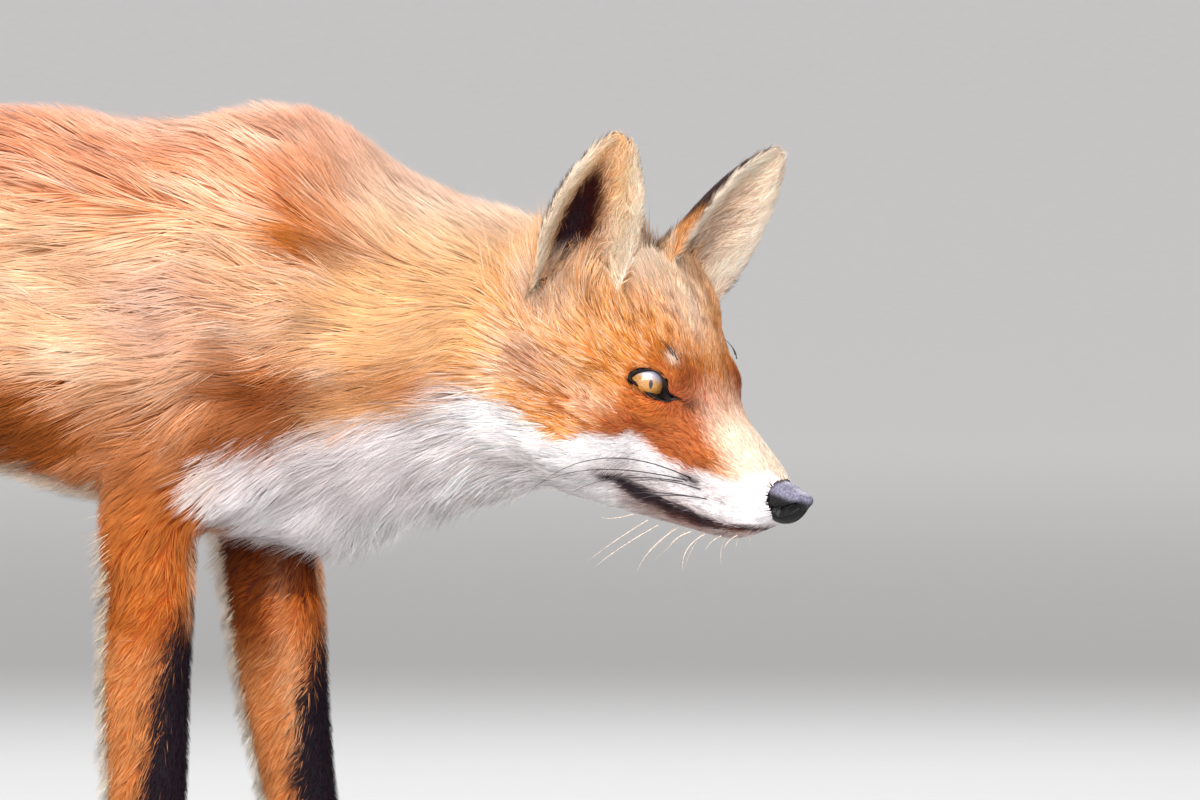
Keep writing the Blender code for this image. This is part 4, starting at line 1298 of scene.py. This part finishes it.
def unwrap_region(chosen):
    """An unwrap of this part of the skin alone, filling the square: corner places of each chosen triangle."""
    faces = BODY.faces[chosen]
    used, local = np.unique(faces, return_inverse=True)
    mesh = mesh_from("region", BODY.skin[used], local.reshape(faces.shape))
    region = link(bpy.data.objects.new("region", mesh))
    unwrap(region)
    places = np.empty(len(mesh.loops) * 2, np.float32)
    mesh.uv_layers[0].data.foreach_get("uv", places)
    places = places.reshape(-1, 2).astype(np.float64)
    low, high = places.min(axis=0), places.max(axis=0)
    places = EDGE + 0.992 * (places - low) / (high - low)
    bpy.data.objects.remove(region)
    bpy.data.meshes.remove(mesh)
    return places.reshape(-1, 3, 2)


def pick_roots(wanted, count, source):
    """Even places over the wanted skin: their triangles and shares, and every triangle's weight."""
    corners = BODY.points[BODY.faces]
    area = np.linalg.norm(np.cross(corners[:, 1] - corners[:, 0], corners[:, 2] - corners[:, 0]), axis=1)
    weight = area * wanted[BODY.faces].mean(axis=1)
    total = np.cumsum(weight)
    picks = (np.arange(count) + source.random(count)) / count * total[-1]
    index = np.searchsorted(total, picks).clip(0, len(total) - 1)
    s, t = np.sqrt(source.random(count)), source.random(count)
    return index, np.column_stack((1 - s, s * (1 - t), s * t)), weight


def tuft_mesh(name, root, tip, sides, ups, width, bend):
    """Closed tufts from root to tip, shaded on top like the body under them, a little rounded."""
    count = len(root)
    points = np.empty((count, TUFT_CORNERS, 3))
    facing = np.empty(points.shape)
    half = (width / 2)[:, None]
    points[:, 0] = root - sides[0] * half - ups[0] * half * 0.2
    points[:, 1] = root + ups[0] * half * 0.4
    points[:, 2] = root + sides[0] * half - ups[0] * half * 0.2
    points[:, 3] = tip
    for corner, tilt in enumerate((-0.3, 0, 0.3)):
        facing[:, corner] = ups[0] + (tilt + bend) * sides[0]
    facing[:, 3] = ups[1] + bend * sides[1]
    points[:, :, 2] = np.maximum(points[:, :, 2], FLOOR_GAP)
    # Turn the faces outwards if the first tuft's point inwards.
    pattern, patch = TUFT, TUFT_PLACES
    a, b, c = (points[0, pattern[:, k]] for k in range(3))
    if (np.cross(b - a, c - a) * (a - points[0].mean(axis=0))).sum() < 0:
        pattern, patch = pattern[:, ::-1], patch[:, ::-1]
    faces = (pattern[None] + (np.arange(count) * TUFT_CORNERS)[:, None, None]).reshape(-1, 3)
    mesh = mesh_from(name, points.reshape(-1, 3), faces)
    lit = facing[:, pattern]
    lit[:, :UNDER_FACES] = (unit(tip - root) - 0.45 * ups[0])[:, None, None]
    lit /= np.linalg.norm(lit, axis=3, keepdims=True)
    normals = mesh.attributes.new("custom_normal", "FLOAT_VECTOR", "CORNER")
    normals.data.foreach_set("vector", lit.astype(np.float32).ravel())
    return mesh, patch


def grow_coat(
    name,
    slot,
    wanted,
    triangles,
    seed,
    clump=12,
    pull=0.42,
    wave=0.16,
    ragged=0.08,
    vary=0.1,
    rounding=0.4,
    stray=0.12,
    pale=0.3,
    shade=None,
    **fields,
):
    """One coat piece: closed tufts over the wanted share of the skin, lying along the body in locks.

    clump is how many tufts make a lock, and pull how far their tips draw together. wave and ragged turn
    the locks aside. vary, pale and shade are for colour, rounding for shading, and stray is how far off
    a tuft may read its colour, as a share of its length. Other fields replace the body's own.
    """
    source = np.random.default_rng(bpy.context.scene.fox_sizes.seed * 100 + seed)
    field = {key: fields.get(key, getattr(BODY, key)) for key in ("length", "depth", "width", "stand", "way")}
    count = int(triangles * bpy.context.scene.fox_sizes.fullness / len(TUFT))
    root_index, root_share, weight = pick_roots(wanted, count, source)
    place = blend_of(BODY.points, root_index, root_share)
    length = blend_of(field["length"], root_index, root_share) * source.uniform(0.72, 1.18, count) * MM
    width = blend_of(field["width"], root_index, root_share) * source.uniform(0.65, 1.25, count) * MM
    stand = blend_of(field["stand"], root_index, root_share)

    # Locks: each tuft belongs to the nearest of a few leaders, and each lock to a broad wisp.
    leaders, lock = follow(place, count // clump, source)
    chiefs, wisp = follow(place, count // (clump * WISP_LOCKS), source)
    lead, chief = leaders[lock], chiefs[wisp]
    lock_turn = wave * waver(place[leaders] / MM, 48, seed) + source.normal(0, ragged, len(leaders))
    turn = lock_turn[lock] + source.normal(0, ragged * 0.45, count)
    turn = turn + source.normal(0, ragged, len(chiefs))[wisp]
    phase, curl = source.uniform(0, 6.28, len(leaders))[lock], source.normal(0, 0.05, count)
    lock_shade = source.normal(0, 0.05, len(leaders))[lock] + source.normal(0, 0.06, len(chiefs))[wisp]
    stand = stand * (1 + source.normal(0, 0.08, count) + source.normal(0, 0.07, len(leaders))[lock])
    stand = stand * (1 + source.normal(0, 0.06, len(chiefs))[wisp])
    broad = math.sqrt(np.cumsum(weight)[-1] / len(chiefs) / math.pi)

    # The root lies in the skin, and the tip a tuft's length on, as high in the coat as it stands.
    index, share, rows, sides, ups = root_index, root_share, [], [], []
    start = place
    for at_tip in (0, 1):
        if at_tip:
            place, index, share = settle_places(place + ahead * length[:, None])
        normal = unit(blend_of(BODY.normals, index, share))
        way = flatten(blend_of(field["way"], index, share), normal)
        side = np.cross(way, normal)
        swing = turn + 0.6 * wave * np.sin(5.0 * at_tip + phase)
        ahead = way * np.cos(swing)[:, None] + side * np.sin(swing)[:, None]
        depth = blend_of(field["depth"], index, share) * MM
        sunk = depth * (1 - stand) if at_tip else depth + ROOT_SINK
        rows.append(place - normal * sunk[:, None] + side * (curl * length * at_tip)[:, None])
        sides.append(np.cross(ahead, normal))
        ups.append(normal)
    marks_stray = stray * np.clip(length / MM, 4, 20)
    marks = marks_near(*settle_places((start + place) / 2), source, marks_stray)
    # Leave out any that would cover an eye or the nose.
    root, tip = rows
    shown = ~(hides_face(root) | hides_face(tip) | hides_face((root + tip) / 2))

    # Draw the locks together towards their tips, and round each wisp.
    firm = pull * source.uniform(0.5, 1.0, count)
    off_wisp = [((row[chief] - row) * aside).sum(axis=1, keepdims=True) for row, aside in zip(rows, sides)]
    bend = np.clip(-off_wisp[0] / broad, -1.2, 1.2) * rounding
    offset = tip[lead] - tip
    across = (offset * sides[1]).sum(axis=1, keepdims=True) * sides[1]
    inward = np.clip(off_wisp[1], -broad, broad) * sides[1] * 0.3
    tip = tip + (across + 0.15 * (offset - across)) * firm[:, None] + inward

    sides, ups = [v[shown] for v in sides], [v[shown] for v in ups]
    mesh, patch = tuft_mesh(name, root[shown], tip[shown], sides, ups, width[shown], bend[shown])
    root_index, root_share, marks = root_index[shown], root_share[shown], marks[shown]
    count = len(marks)
    chosen = np.flatnonzero(weight > 0)
    corner_places = unwrap_region(chosen)[np.searchsorted(chosen, root_index)]
    root_place = (corner_places * root_share[:, :, None]).sum(axis=1)
    bake = root_place[:, None, None] + (patch[None] - 0.5) * PATCH
    fill_uv(mesh, "OFBake", np.clip(bake, 0.0001, 0.9999))
    strand = np.tile(patch[None], (count, 1, 1, 1))
    strand[..., 0] += source.integers(0, 900, count)[:, None, None]
    fill_uv(mesh, "Strand", strand)

    # Each tuft's own tone, with a few dark and a few pale ones.
    if shade:
        marks = np.tile(palette(shade), (count, 1))
    colour = marks * np.exp(source.normal(0, vary, count) + lock_shade[shown])[:, None]
    ticked, light = source.random(count), marks.mean(axis=1) > 0.25
    colour = np.where((ticked < 0.3 * vary)[:, None], colour * 0.55, colour)
    paler = ((ticked > 1 - 1.3 * vary) & light)[:, None] * pale
    colour = colour * (1 - paler) + palette("cream") * paler
    paint(mesh, "Markings", np.clip(np.repeat(colour, TUFT_CORNERS, axis=0), 0, 1))
    mesh.materials.append(coat_material())
    finish_piece(link(bpy.data.objects.new(name, mesh)), slot)
    print(name, count, "tufts", count * len(TUFT), "triangles")


def even(**values):
    """Fields that have one value all over the body."""
    return {key: np.full(len(BODY.points), float(value)) for key, value in values.items()}


def follow(place, number, source):
    """A few leaders chosen among the places, and which of them is nearest to each place."""
    leaders = source.choice(len(place), max(number, 1), replace=False)
    tree = KDTree(len(leaders))
    for i, leader in enumerate(leaders.tolist()):
        tree.insert(place[leader].tolist(), i)
    tree.balance()
    return leaders, np.array([tree.find(p)[1] for p in place.tolist()])


def marks_near(place, index, share, source, stray):
    """The markings near places on the body, each read a little off its own place."""
    corner = BODY.faces[index, share.argmax(axis=1)]
    place = place + source.normal(0, 1, place.shape) * (stray * MM)[:, None]
    kinds = {kind: mask[corner] for kind, mask in BODY.kinds.items()}
    return markings(place, BODY.normals[corner], kinds)


def fill_uv(mesh, name, places):
    layer = mesh.uv_layers.new(name=name)
    layer.data.foreach_set("uv", places.astype(np.float32).ravel())


class BodyCoat(bpy.types.Operator):
    """Grows the coat of the trunk, neck and throat"""

    bl_idname = "fox.body_coat"
    bl_label = "Body coat"

    def execute(self, context):
        kinds = BODY.kinds
        x, _, z = body_place(BODY.points).T
        low_neck = rise(254, 240, z)
        trunk, neck = kinds["trunk"] * 1.0, kinds["neck"] * 1.0
        upper = rise(280, 296, z)
        grow_coat("coat_back", "coat_orange", trunk * upper, 115000, 1, clump=14, wave=0.24)
        grow_coat("coat_flank", "coat_orange", trunk * (1 - upper), 180000, 2, clump=14, wave=0.36)
        grow_coat("coat_neck", "coat_orange", neck * (1 - low_neck), 140000, 3, clump=14, wave=0.34)
        grow_coat("coat_throat", "coat_white", neck * low_neck, 74000, 4, clump=12, ragged=0.13, pale=0.0)
        hangs = np.maximum(neck, trunk * (x > 0)) * rise(-0.3, -0.75, BODY.normals[:, 2])
        wisp = even(width=0.5, stand=1.45)
        grow_coat("throat_wisps", "coat_white", hangs, 14000, 17, clump=3, ragged=0.3, **wisp)
        return {"FINISHED"}


class LimbCoat(bpy.types.Operator):
    """Grows the coat of the arms, thighs, legs and paws"""

    bl_idname = "fox.limb_coat"
    bl_label = "Limb coat"

    def execute(self, context):
        kinds = BODY.kinds
        fine = {"ragged": 0.08, "vary": 0.1, "stray": 0.45, "pale": 0.1, "rounding": 0.12, "pull": 0.25}
        arms = kinds["upper_arm"] * 1.0
        grow_coat("coat_arms", "coat_orange", arms, 84000, 5, clump=10, vary=0.13, pale=0.2)
        grow_coat("coat_thighs", "coat_orange", kinds["thigh"] * 1.0, 60000, 6, clump=10, vary=0.12)
        grow_coat("coat_forelegs", "coat_black", kinds["foreleg"] * 1.0, 110000, 7, clump=5, **fine)
        grow_coat("coat_hindlegs", "coat_orange", kinds["hindleg"] * 1.0, 56000, 8, clump=5, **fine)
        paws = (kinds["forepaw"] | kinds["hindpaw"]) & (BODY.normals[:, 2] > -0.7)
        grow_coat("coat_paws", "coat_black", paws * 1.0, 36000, 9, clump=4, wave=0.1, ragged=0.12)
        legs = kinds["foreleg"] | (kinds["upper_arm"] & (BODY.points[:, 2] < 0.19))
        behind = rise(-0.62, -0.9, BODY.normals[:, 0]) * legs
        fringe = even(length=9.0, width=0.34, stand=2.6)
        fringe.update(clump=3, ragged=0.25, shade="cream")
        grow_coat("leg_fringe", "coat_white", behind, 30000, 18, **fringe)
        return {"FINISHED"}


class TailCoat(bpy.types.Operator):
    """Grows the brush"""

    bl_idname = "fox.tail_coat"
    bl_label = "Brush"

    def execute(self, context):
        tail = (BODY.kinds["tail"] | BODY.kinds["tail_tip"]) * 1.0
        grow_coat("coat_tail", "coat_orange", tail, 110000, 10, clump=14, ragged=0.12, vary=0.14)
        return {"FINISHED"}


class HeadCoat(bpy.types.Operator):
    """Grows the coat of the head, jaw and ears"""

    bl_idname = "fox.head_coat"
    bl_label = "Head coat"

    def execute(self, context):
        kinds = BODY.kinds
        head = head_place(BODY.points)
        front = rise(-16, -4, head[:, 0])
        skull = kinds["head"] * 1.0
        short = {"pull": 0.35, "wave": 0.08, "ragged": 0.1, "vary": 0.18, "rounding": 0.15}
        longer = {"wave": 0.14, "ragged": 0.11, "vary": 0.2, "pale": 0.4, "rounding": 0.3}
        jaw = kinds["lower_jaw"] * 1.0
        grow_coat("coat_face", "coat_orange", skull * front, 165000, 11, clump=6, **short)
        grow_coat("coat_head", "coat_orange", skull * (1 - front), 130000, 12, clump=8, **longer)
        grow_coat("coat_jaw", "coat_white", jaw, 26000, 13, clump=4, pull=0.3, wave=0.05, ragged=0.1)
        self.ears(head)
        self.ruffs(head)
        return {"FINISHED"}

    def ruffs(self, head):
        """Long, loose hairs that stand round the ears' feet."""
        mirrored = head * (1, 0, 1) + np.abs(head) * (0, 1, 0)
        foot = near(mirrored, (-52, 50, 16), (13, 14, 11)) * (BODY.kinds["head"] | BODY.kinds["neck"])
        way = np.zeros_like(head)
        for ear in EARS.values():
            mine = head[:, 1] * ear.sign > 0
            way[mine] = (ear.along + (-0.5, 0.3 * ear.sign, 0)) @ HEAD_AXES
        ruff = even(length=14.0, width=0.5, stand=2.5)
        ruff.update(way=flatten(way, BODY.normals), ragged=0.22, vary=0.2, pale=0.5)
        grow_coat("ear_ruffs", "coat_orange", foot, 16000, 19, clump=6, **ruff)

    def ears(self, head):
        """Short fur on both faces of the ears, a fringe along their edges, and long pale hairs within."""
        ears = (BODY.kinds["ear_left"] | BODY.kinds["ear_right"]) * 1.0
        plush = {"pull": 0.3, "wave": 0.1, "ragged": 0.16, "vary": 0.2}
        grow_coat("coat_ears", "coat_black", ears, 84000, 14, clump=4, **plush)
        edge, lining = np.zeros(len(head)), np.zeros(len(head))
        for side, ear in EARS.items():
            share, turned, inside = ear.place(head, BODY.normals @ HEAD_AXES.T)
            mine = BODY.kinds["ear_" + side] * 1.0
            across = np.abs(turned)
            edge += mine * np.maximum(rise(0.8, 0.95, across), rise(0.93, 1.0, share)) * rise(0.1, 0.2, share)
            within = inside * rise(0.98, 0.8, share) * rise(-0.1, 0.02, share)
            lining += mine * within * (0.1 + rise(0.4, 0.75, across) * rise(1.05, 0.9, across))
        fringe = even(length=4.6, width=0.32, stand=2.24)
        within = even(length=10.12, width=0.32, stand=2.88)
        grow_coat("ear_fringe", "coat_white", edge, 16000, 15, clump=3, ragged=0.3, vary=0.3, **fringe)
        grow_coat("ear_lining", "coat_white", lining, 40000, 16, clump=5, ragged=0.2, vary=0.25, **within)


# ---------------------------------------------------------------- materials


def new_material(name):
    made = bpy.data.materials.new(name)
    made.use_nodes = True
    tree = made.node_tree
    return made, tree, tree.nodes["Principled BSDF"]


def node(tree, kind, **settings):
    made = tree.nodes.new(kind)
    for key, value in settings.items():
        if isinstance(value, (int, float, tuple)) and key in made.inputs:
            made.inputs[key].default_value = value
        else:
            setattr(made, key, value)
    return made


def scaled(tree, value, low, high, to_low, to_high):
    made = node(tree, "ShaderNodeMapRange", interpolation_type="SMOOTHSTEP")
    for socket, number in zip(("From Min", "From Max", "To Min", "To Max"), (low, high, to_low, to_high)):
        made.inputs[socket].default_value = number
    tree.links.new(value, made.inputs["Value"])
    return made.outputs["Result"]


def times_colour(tree, colour, factor):
    made = node(tree, "ShaderNodeVectorMath", operation="MULTIPLY")
    tree.links.new(colour, made.inputs[0])
    tree.links.new(factor, made.inputs[1])
    return made.outputs["Vector"]


def times(tree, first, second):
    made = node(tree, "ShaderNodeMath", operation="MULTIPLY")
    tree.links.new(first, made.inputs[0])
    tree.links.new(second, made.inputs[1])
    return made.outputs["Value"]


def mixed(tree, factor, first, second):
    """Two colours mixed by a factor. Each is plain numbers or another node's output."""
    made = node(tree, "ShaderNodeMix", data_type="RGBA")
    for socket, colour in zip([s for s in made.inputs if s.type == "RGBA"], (first, second)):
        if isinstance(colour, bpy.types.NodeSocket):
            tree.links.new(colour, socket)
        else:
            socket.default_value = (*np.clip(colour, 0, 1), 1)
    tree.links.new(factor, [s for s in made.inputs if s.name == "Factor" and s.type == "VALUE"][0])
    return [s for s in made.outputs if s.type == "RGBA"][0]


def object_place(tree):
    return node(tree, "ShaderNodeTexCoord").outputs["Object"]


def markings_of(tree):
    return node(tree, "ShaderNodeAttribute", attribute_name="Markings").outputs["Color"]


def roughen(tree, shader, height, strength, distance, **settings):
    """Bump from a pattern, with its depth in metres."""
    bump = node(tree, "ShaderNodeBump", Strength=strength, Distance=distance, **settings)
    tree.links.new(height, bump.inputs["Height"])
    tree.links.new(bump.outputs["Normal"], shader.inputs["Normal"])


def finish_shader(shader, **values):
    """Sets the shader's own sockets, such as coat_roughness for Coat Roughness."""
    names = {"ior": "IOR"}
    for key, value in values.items():
        words = [names.get(word, word.capitalize()) for word in key.split("_")]
        shader.inputs[" ".join(words)].default_value = value


def noise(tree, vector, scale, detail=2.0):
    made = node(tree, "ShaderNodeTexNoise", Scale=scale, Detail=detail)
    tree.links.new(vector, made.inputs["Vector"])
    return made.outputs["Fac"]


def coat_material():
    """Fine strands on every tuft, dark at the root and light at the tip: partly the hair's own darker base,
    partly painted shade deep in the coat.
    """
    found = bpy.data.materials.get("coat")
    if found:
        return found
    made, tree, shader = new_material("coat")
    marks = markings_of(tree)
    strand = node(tree, "ShaderNodeUVMap", uv_map="Strand").outputs["UV"]
    parts = node(tree, "ShaderNodeSeparateXYZ")
    tree.links.new(strand, parts.inputs[0])
    stretch = node(tree, "ShaderNodeMapping")
    stretch.inputs["Scale"].default_value = (3.2, 0.5, 1.0)
    tree.links.new(strand, stretch.inputs["Vector"])
    streak = noise(tree, stretch.outputs["Vector"], 1.0, 1.0)
    patchy = noise(tree, object_place(tree), 38.0)
    root_tone_and_shade = scaled(tree, parts.outputs["Y"], 0.0, 0.5, 0.88, 1.0)
    fine = scaled(tree, streak, 0.3, 0.7, 0.84, 1.08)
    broad = scaled(tree, patchy, 0.3, 0.7, 0.88, 1.08)
    # Deep in the coat the colour is richer, not greyish, as painted shade there.
    deep_tone_and_shade = node(tree, "ShaderNodeGamma")
    tree.links.new(marks, deep_tone_and_shade.inputs["Color"])
    tree.links.new(scaled(tree, parts.outputs["Y"], 0.0, 0.6, 1.4, 1.0), deep_tone_and_shade.inputs["Gamma"])
    toned = times_colour(tree, deep_tone_and_shade.outputs["Color"], times(tree, times(tree, root_tone_and_shade, fine), broad))
    tree.links.new(toned, shader.inputs["Base Color"])
    finish_shader(shader, roughness=0.62, specular_ior_level=0.06, sheen_weight=0.01, sheen_roughness=0.5)
    return made


def skin_material():
    """Dull, fine underfur in the coat's own markings, made darker and richer as painted shade deep in the
    coat.
    """
    made, tree, shader = new_material("undercoat")
    marks, place = markings_of(tree), object_place(tree)
    fine = noise(tree, place, 1400.0)
    broad = noise(tree, place, 160.0)
    shade = times(tree, scaled(tree, fine, 0.3, 0.7, 0.76, 1.0), scaled(tree, broad, 0.3, 0.7, 0.88, 1.0))
    # Painted shade deep in the coat: the markings darker and richer.
    deep_tone_and_shade = node(tree, "ShaderNodeGamma", Gamma=1.4)
    tree.links.new(marks, deep_tone_and_shade.inputs["Color"])
    tree.links.new(times_colour(tree, deep_tone_and_shade.outputs["Color"], shade), shader.inputs["Base Color"])
    roughen(tree, shader, fine, 0.5, 0.0006)
    finish_shader(shader, roughness=0.75, specular_ior_level=0.25)
    return made


def leather_material(name, scale, roughness, marked=False):
    """Dark, pebbled, slightly moist bare skin."""
    found = bpy.data.materials.get(name)
    if found:
        return found
    made, tree, shader = new_material(name)
    place = object_place(tree)
    cells = node(tree, "ShaderNodeTexVoronoi", Scale=float(scale), feature="SMOOTH_F1")
    tree.links.new(place, cells.inputs["Vector"])
    uneven = noise(tree, place, scale * 0.35)
    # Painted shade in the cracks: darker towards each pebble's edge, where the bump sinks, and lighter at its
    # middle.
    pebble_crack_shade = scaled(tree, cells.outputs["Distance"], 0.0, 0.7, 1.25, 0.6)
    shade = times(tree, pebble_crack_shade, scaled(tree, uneven, 0.3, 0.7, 0.8, 1.3))
    leather = palette("leather")
    plain = markings_of(tree) if marked else mixed(tree, uneven, leather * 0.7, leather * 1.4)
    tree.links.new(times_colour(tree, plain, shade), shader.inputs["Base Color"])
    roughen(tree, shader, cells.outputs["Distance"], 0.55, 0.0004, invert=True)
    rough = scaled(tree, uneven, 0.3, 0.7, roughness * 0.8, roughness * 1.25)
    tree.links.new(rough, shader.inputs["Roughness"])
    finish_shader(shader, specular_ior_level=0.3)
    return made


def horn_material(name, colour, roughness):
    """Smooth, faintly grained horn or hair."""
    made, tree, shader = new_material(name)
    grain = scaled(tree, noise(tree, object_place(tree), 900.0), 0.3, 0.7, 0.7, 1.25)
    grained = times_colour(tree, mixed(tree, grain, colour * 0.8, colour), grain)
    tree.links.new(grained, shader.inputs["Base Color"])
    finish_shader(shader, roughness=roughness)
    return made


def eye_material(side, centre, axes):
    """An amber iris with an upright slit and a painted reflection of the sky, under a clear, wet cornea."""
    made, tree, shader = new_material("eye_" + side + "_surface")
    offset = node(tree, "ShaderNodeVectorMath", operation="SUBTRACT")
    offset.inputs[1].default_value = centre
    tree.links.new(object_place(tree), offset.inputs[0])

    def along(axis):
        made_dot = node(tree, "ShaderNodeVectorMath", operation="DOT_PRODUCT")
        made_dot.inputs[1].default_value = tuple(axis / MM)
        tree.links.new(offset.outputs["Vector"], made_dot.inputs[0])
        return made_dot.outputs["Value"]

    # The slit stands upright on the head, a little askew to the lids.
    lean = math.radians(20)
    wide_axis = axes[1] * math.cos(lean) - axes[2] * math.sin(lean)
    tall_axis = axes[1] * math.sin(lean) + axes[2] * math.cos(lean)
    wide, tall = along(wide_axis), along(tall_axis)

    def length(first, second, stretch):
        """Distance from the pupil's middle, with the second axis stretched."""
        join = node(tree, "ShaderNodeCombineXYZ")
        tree.links.new(first, join.inputs[0])
        tree.links.new(second, join.inputs[1])
        scale = node(tree, "ShaderNodeVectorMath", operation="MULTIPLY")
        scale.inputs[1].default_value = (1.0, stretch, 0.0)
        tree.links.new(join.outputs[0], scale.inputs[0])
        size_node = node(tree, "ShaderNodeVectorMath", operation="LENGTH")
        tree.links.new(scale.outputs["Vector"], size_node.inputs[0])
        return size_node.outputs["Value"]

    round_out, slit = length(wide, tall, 1.0), length(wide, tall, 0.4)
    angle = node(tree, "ShaderNodeMath", operation="ARCTAN2")
    tree.links.new(wide, angle.inputs[0])
    tree.links.new(tall, angle.inputs[1])
    spokes = node(tree, "ShaderNodeCombineXYZ")
    tree.links.new(angle.outputs[0], spokes.inputs[0])
    ring_scale = scaled(tree, round_out, 0.0, 8.0, 0.0, 0.6)
    tree.links.new(ring_scale, spokes.inputs[1])
    fibres = noise(tree, spokes.outputs[0], 9.0, 3.0)
    iris = palette("iris")
    threads = scaled(tree, fibres, 0.25, 0.75, 0, 1)
    threaded = mixed(tree, threads, iris * (0.62, 0.5, 0.4), iris * (1.1, 1.15, 1.3))
    limbus = scaled(tree, round_out, 7.0, 8.6, 1.0, 0.1)
    hub = scaled(tree, slit, 0.65, 1.0, 0.0, 1.0)
    tinted = times_colour(tree, threaded, times(tree, limbus, hub))
    # Painted reflection of the sky: pale blue over the upper iris.
    upper = scaled(tree, along(axes[2]), -4.0, -0.4, 0.75, 0.0)
    tree.links.new(mixed(tree, upper, tinted, palette("sky_reflection")), shader.inputs["Base Color"])
    finish_shader(shader, roughness=0.3, coat_weight=1.0, coat_roughness=0.02, coat_ior=1.8)
    return made


# ---------------------------------------------------------------- stage


def floor_material():
    """Pale paper, a little darker under the lamps so that floor and background look alike."""
    made, tree, shader = new_material("pale_floor")
    place = object_place(tree)
    reach = node(tree, "ShaderNodeVectorMath", operation="LENGTH")
    tree.links.new(place, reach.inputs[0])
    tone = scaled(tree, reach.outputs["Value"], 0.5, 11.0, 0.46, 0.8)
    grain = scaled(tree, noise(tree, place, 60.0), 0.3, 0.7, 0.985, 1.0)
    tree.links.new(times(tree, tone, grain), shader.inputs["Base Color"])
    finish_shader(shader, roughness=0.9, specular_ior_level=0.1)
    return made


class StageMaker(bpy.types.Operator):
    """Lays a pale floor that curves up behind the fox, with soft lights and the camera"""

    bl_idname = "fox.stage"
    bl_label = "Stage"

    def execute(self, context):
        scene = context.scene
        clear_selection()
        bpy.ops.mesh.primitive_circle_add(vertices=128, radius=12, fill_type="NGON")
        floor = bpy.context.active_object
        floor.name = "floor"
        self.curve_up(floor.data)
        floor.data.materials.append(floor_material())
        world = bpy.data.worlds.new("soft_sky")
        scene.world = world
        world.use_nodes = True
        sky = world.node_tree.nodes["Background"]
        sky.inputs["Color"].default_value = (1.0, 0.985, 0.98, 1)
        sky.inputs["Strength"].default_value = 0.74
        # Each lamp: its place from the fox's chest, its sides in metres, its power and its colour.
        self.lamp("key", (-0.5, -0.9, 2.1), (2.2, 1.6), 38, (1.0, 0.97, 0.93))
        self.lamp("rim", (-0.3, 2.0, 1.5), (2.0, 1.0), 42, (0.97, 0.98, 1.0))
        self.lamp("front", (0.7, -2.2, 0.75), (2.6, 1.2), 54, (0.99, 0.98, 1.0))
        self.lamp("behind", (-2.2, -0.5, 0.7), (1.2, 1.0), 24, (1.0, 0.97, 0.93))
        self.lamp("low", (0.5, -1.8, -0.13), (2.2, 0.2), 14, (1.0, 0.98, 0.98))
        target = ORIGIN + Vector((0.1844, 0, 0.2437))
        azimuth, height, distance = math.radians(13.0), math.radians(1.0), 5.0
        level = math.cos(height)
        back = Vector((math.sin(azimuth) * level, -math.cos(azimuth) * level, math.sin(height)))
        data = bpy.data.cameras.new("camera")
        data.sensor_width, data.lens, data.clip_end = 36, 360, 60
        camera = link(bpy.data.objects.new("camera", data))
        camera.location = target + back * distance
        camera.rotation_euler = back.to_track_quat("Z", "Y").to_euler()
        scene.camera = camera
        scene.view_settings.view_transform = "Standard"
        return {"FINISHED"}

    def curve_up(self, mesh):
        """Turns the floor's edge up into a wide, smooth bowl."""
        shape = bmesh.new()
        shape.from_mesh(mesh)
        rim = [e for e in shape.edges if e.is_boundary]
        for out, height in ((2.0, 0.12), (1.8, 0.38), (1.5, 0.75), (1.1, 1.1), (0.6, 1.5), (0.2, 1.8)):
            made = bmesh.ops.extrude_edge_only(shape, edges=rim)["geom"]
            rim = [e for e in made if isinstance(e, bmesh.types.BMEdge)]
            for vertex in (v for v in made if isinstance(v, bmesh.types.BMVert)):
                vertex.co += Vector((vertex.co.x, vertex.co.y, 0)).normalized() * out + Vector((0, 0, height))
        for face in shape.faces:
            face.smooth = True
        bmesh.ops.recalc_face_normals(shape, faces=shape.faces)
        shape.to_mesh(mesh)
        shape.free()

    def lamp(self, name, place, sides, power, colour):
        data = bpy.data.lights.new(name, "AREA")
        data.shape, data.size, data.size_y, data.energy, data.color = "RECTANGLE", *sides, power, colour
        lamp = link(bpy.data.objects.new(name, data))
        aim = ORIGIN + Vector((0.12, 0, 0.26))
        lamp.location = aim + Vector(place)
        lamp.rotation_euler = Vector(place).to_track_quat("Z", "Y").to_euler()


# ---------------------------------------------------------------- panel and making


class FoxPanel(bpy.types.Panel):
    """Lists the fox's makers, sizes and colours"""

    bl_idname = "VIEW3D_PT_fox"
    bl_label = "Red fox"
    bl_space_type = "VIEW_3D"
    bl_region_type = "UI"
    bl_category = "Fox"

    def draw(self, context):
        for maker in MAKERS:
            self.layout.operator(maker.bl_idname)
        for group in (context.scene.fox_sizes, context.scene.fox_colours):
            for name in group.__annotations__:
                self.layout.prop(group, name)


MAKERS = (SkinMaker, EyeMaker, NoseMaker, WhiskerMaker, FootMaker)
MAKERS += (BodyCoat, LimbCoat, TailCoat, HeadCoat, StageMaker)


def register():
    for group in (FoxSizes, FoxColours, *MAKERS, FoxPanel):
        bpy.utils.register_class(group)
    bpy.types.Scene.fox_sizes = PointerProperty(type=FoxSizes)
    bpy.types.Scene.fox_colours = PointerProperty(type=FoxColours)


def unregister():
    del bpy.types.Scene.fox_colours
    del bpy.types.Scene.fox_sizes
    for group in (FoxPanel, *reversed(MAKERS), FoxColours, FoxSizes):
        bpy.utils.unregister_class(group)


def main():
    register()
    for maker in MAKERS:
        group, operator = maker.bl_idname.split(".")
        if getattr(getattr(bpy.ops, group), operator)() != {"FINISHED"}:
            raise RuntimeError(maker.bl_label + " could not be made")


if __name__ == "__main__":
    main()
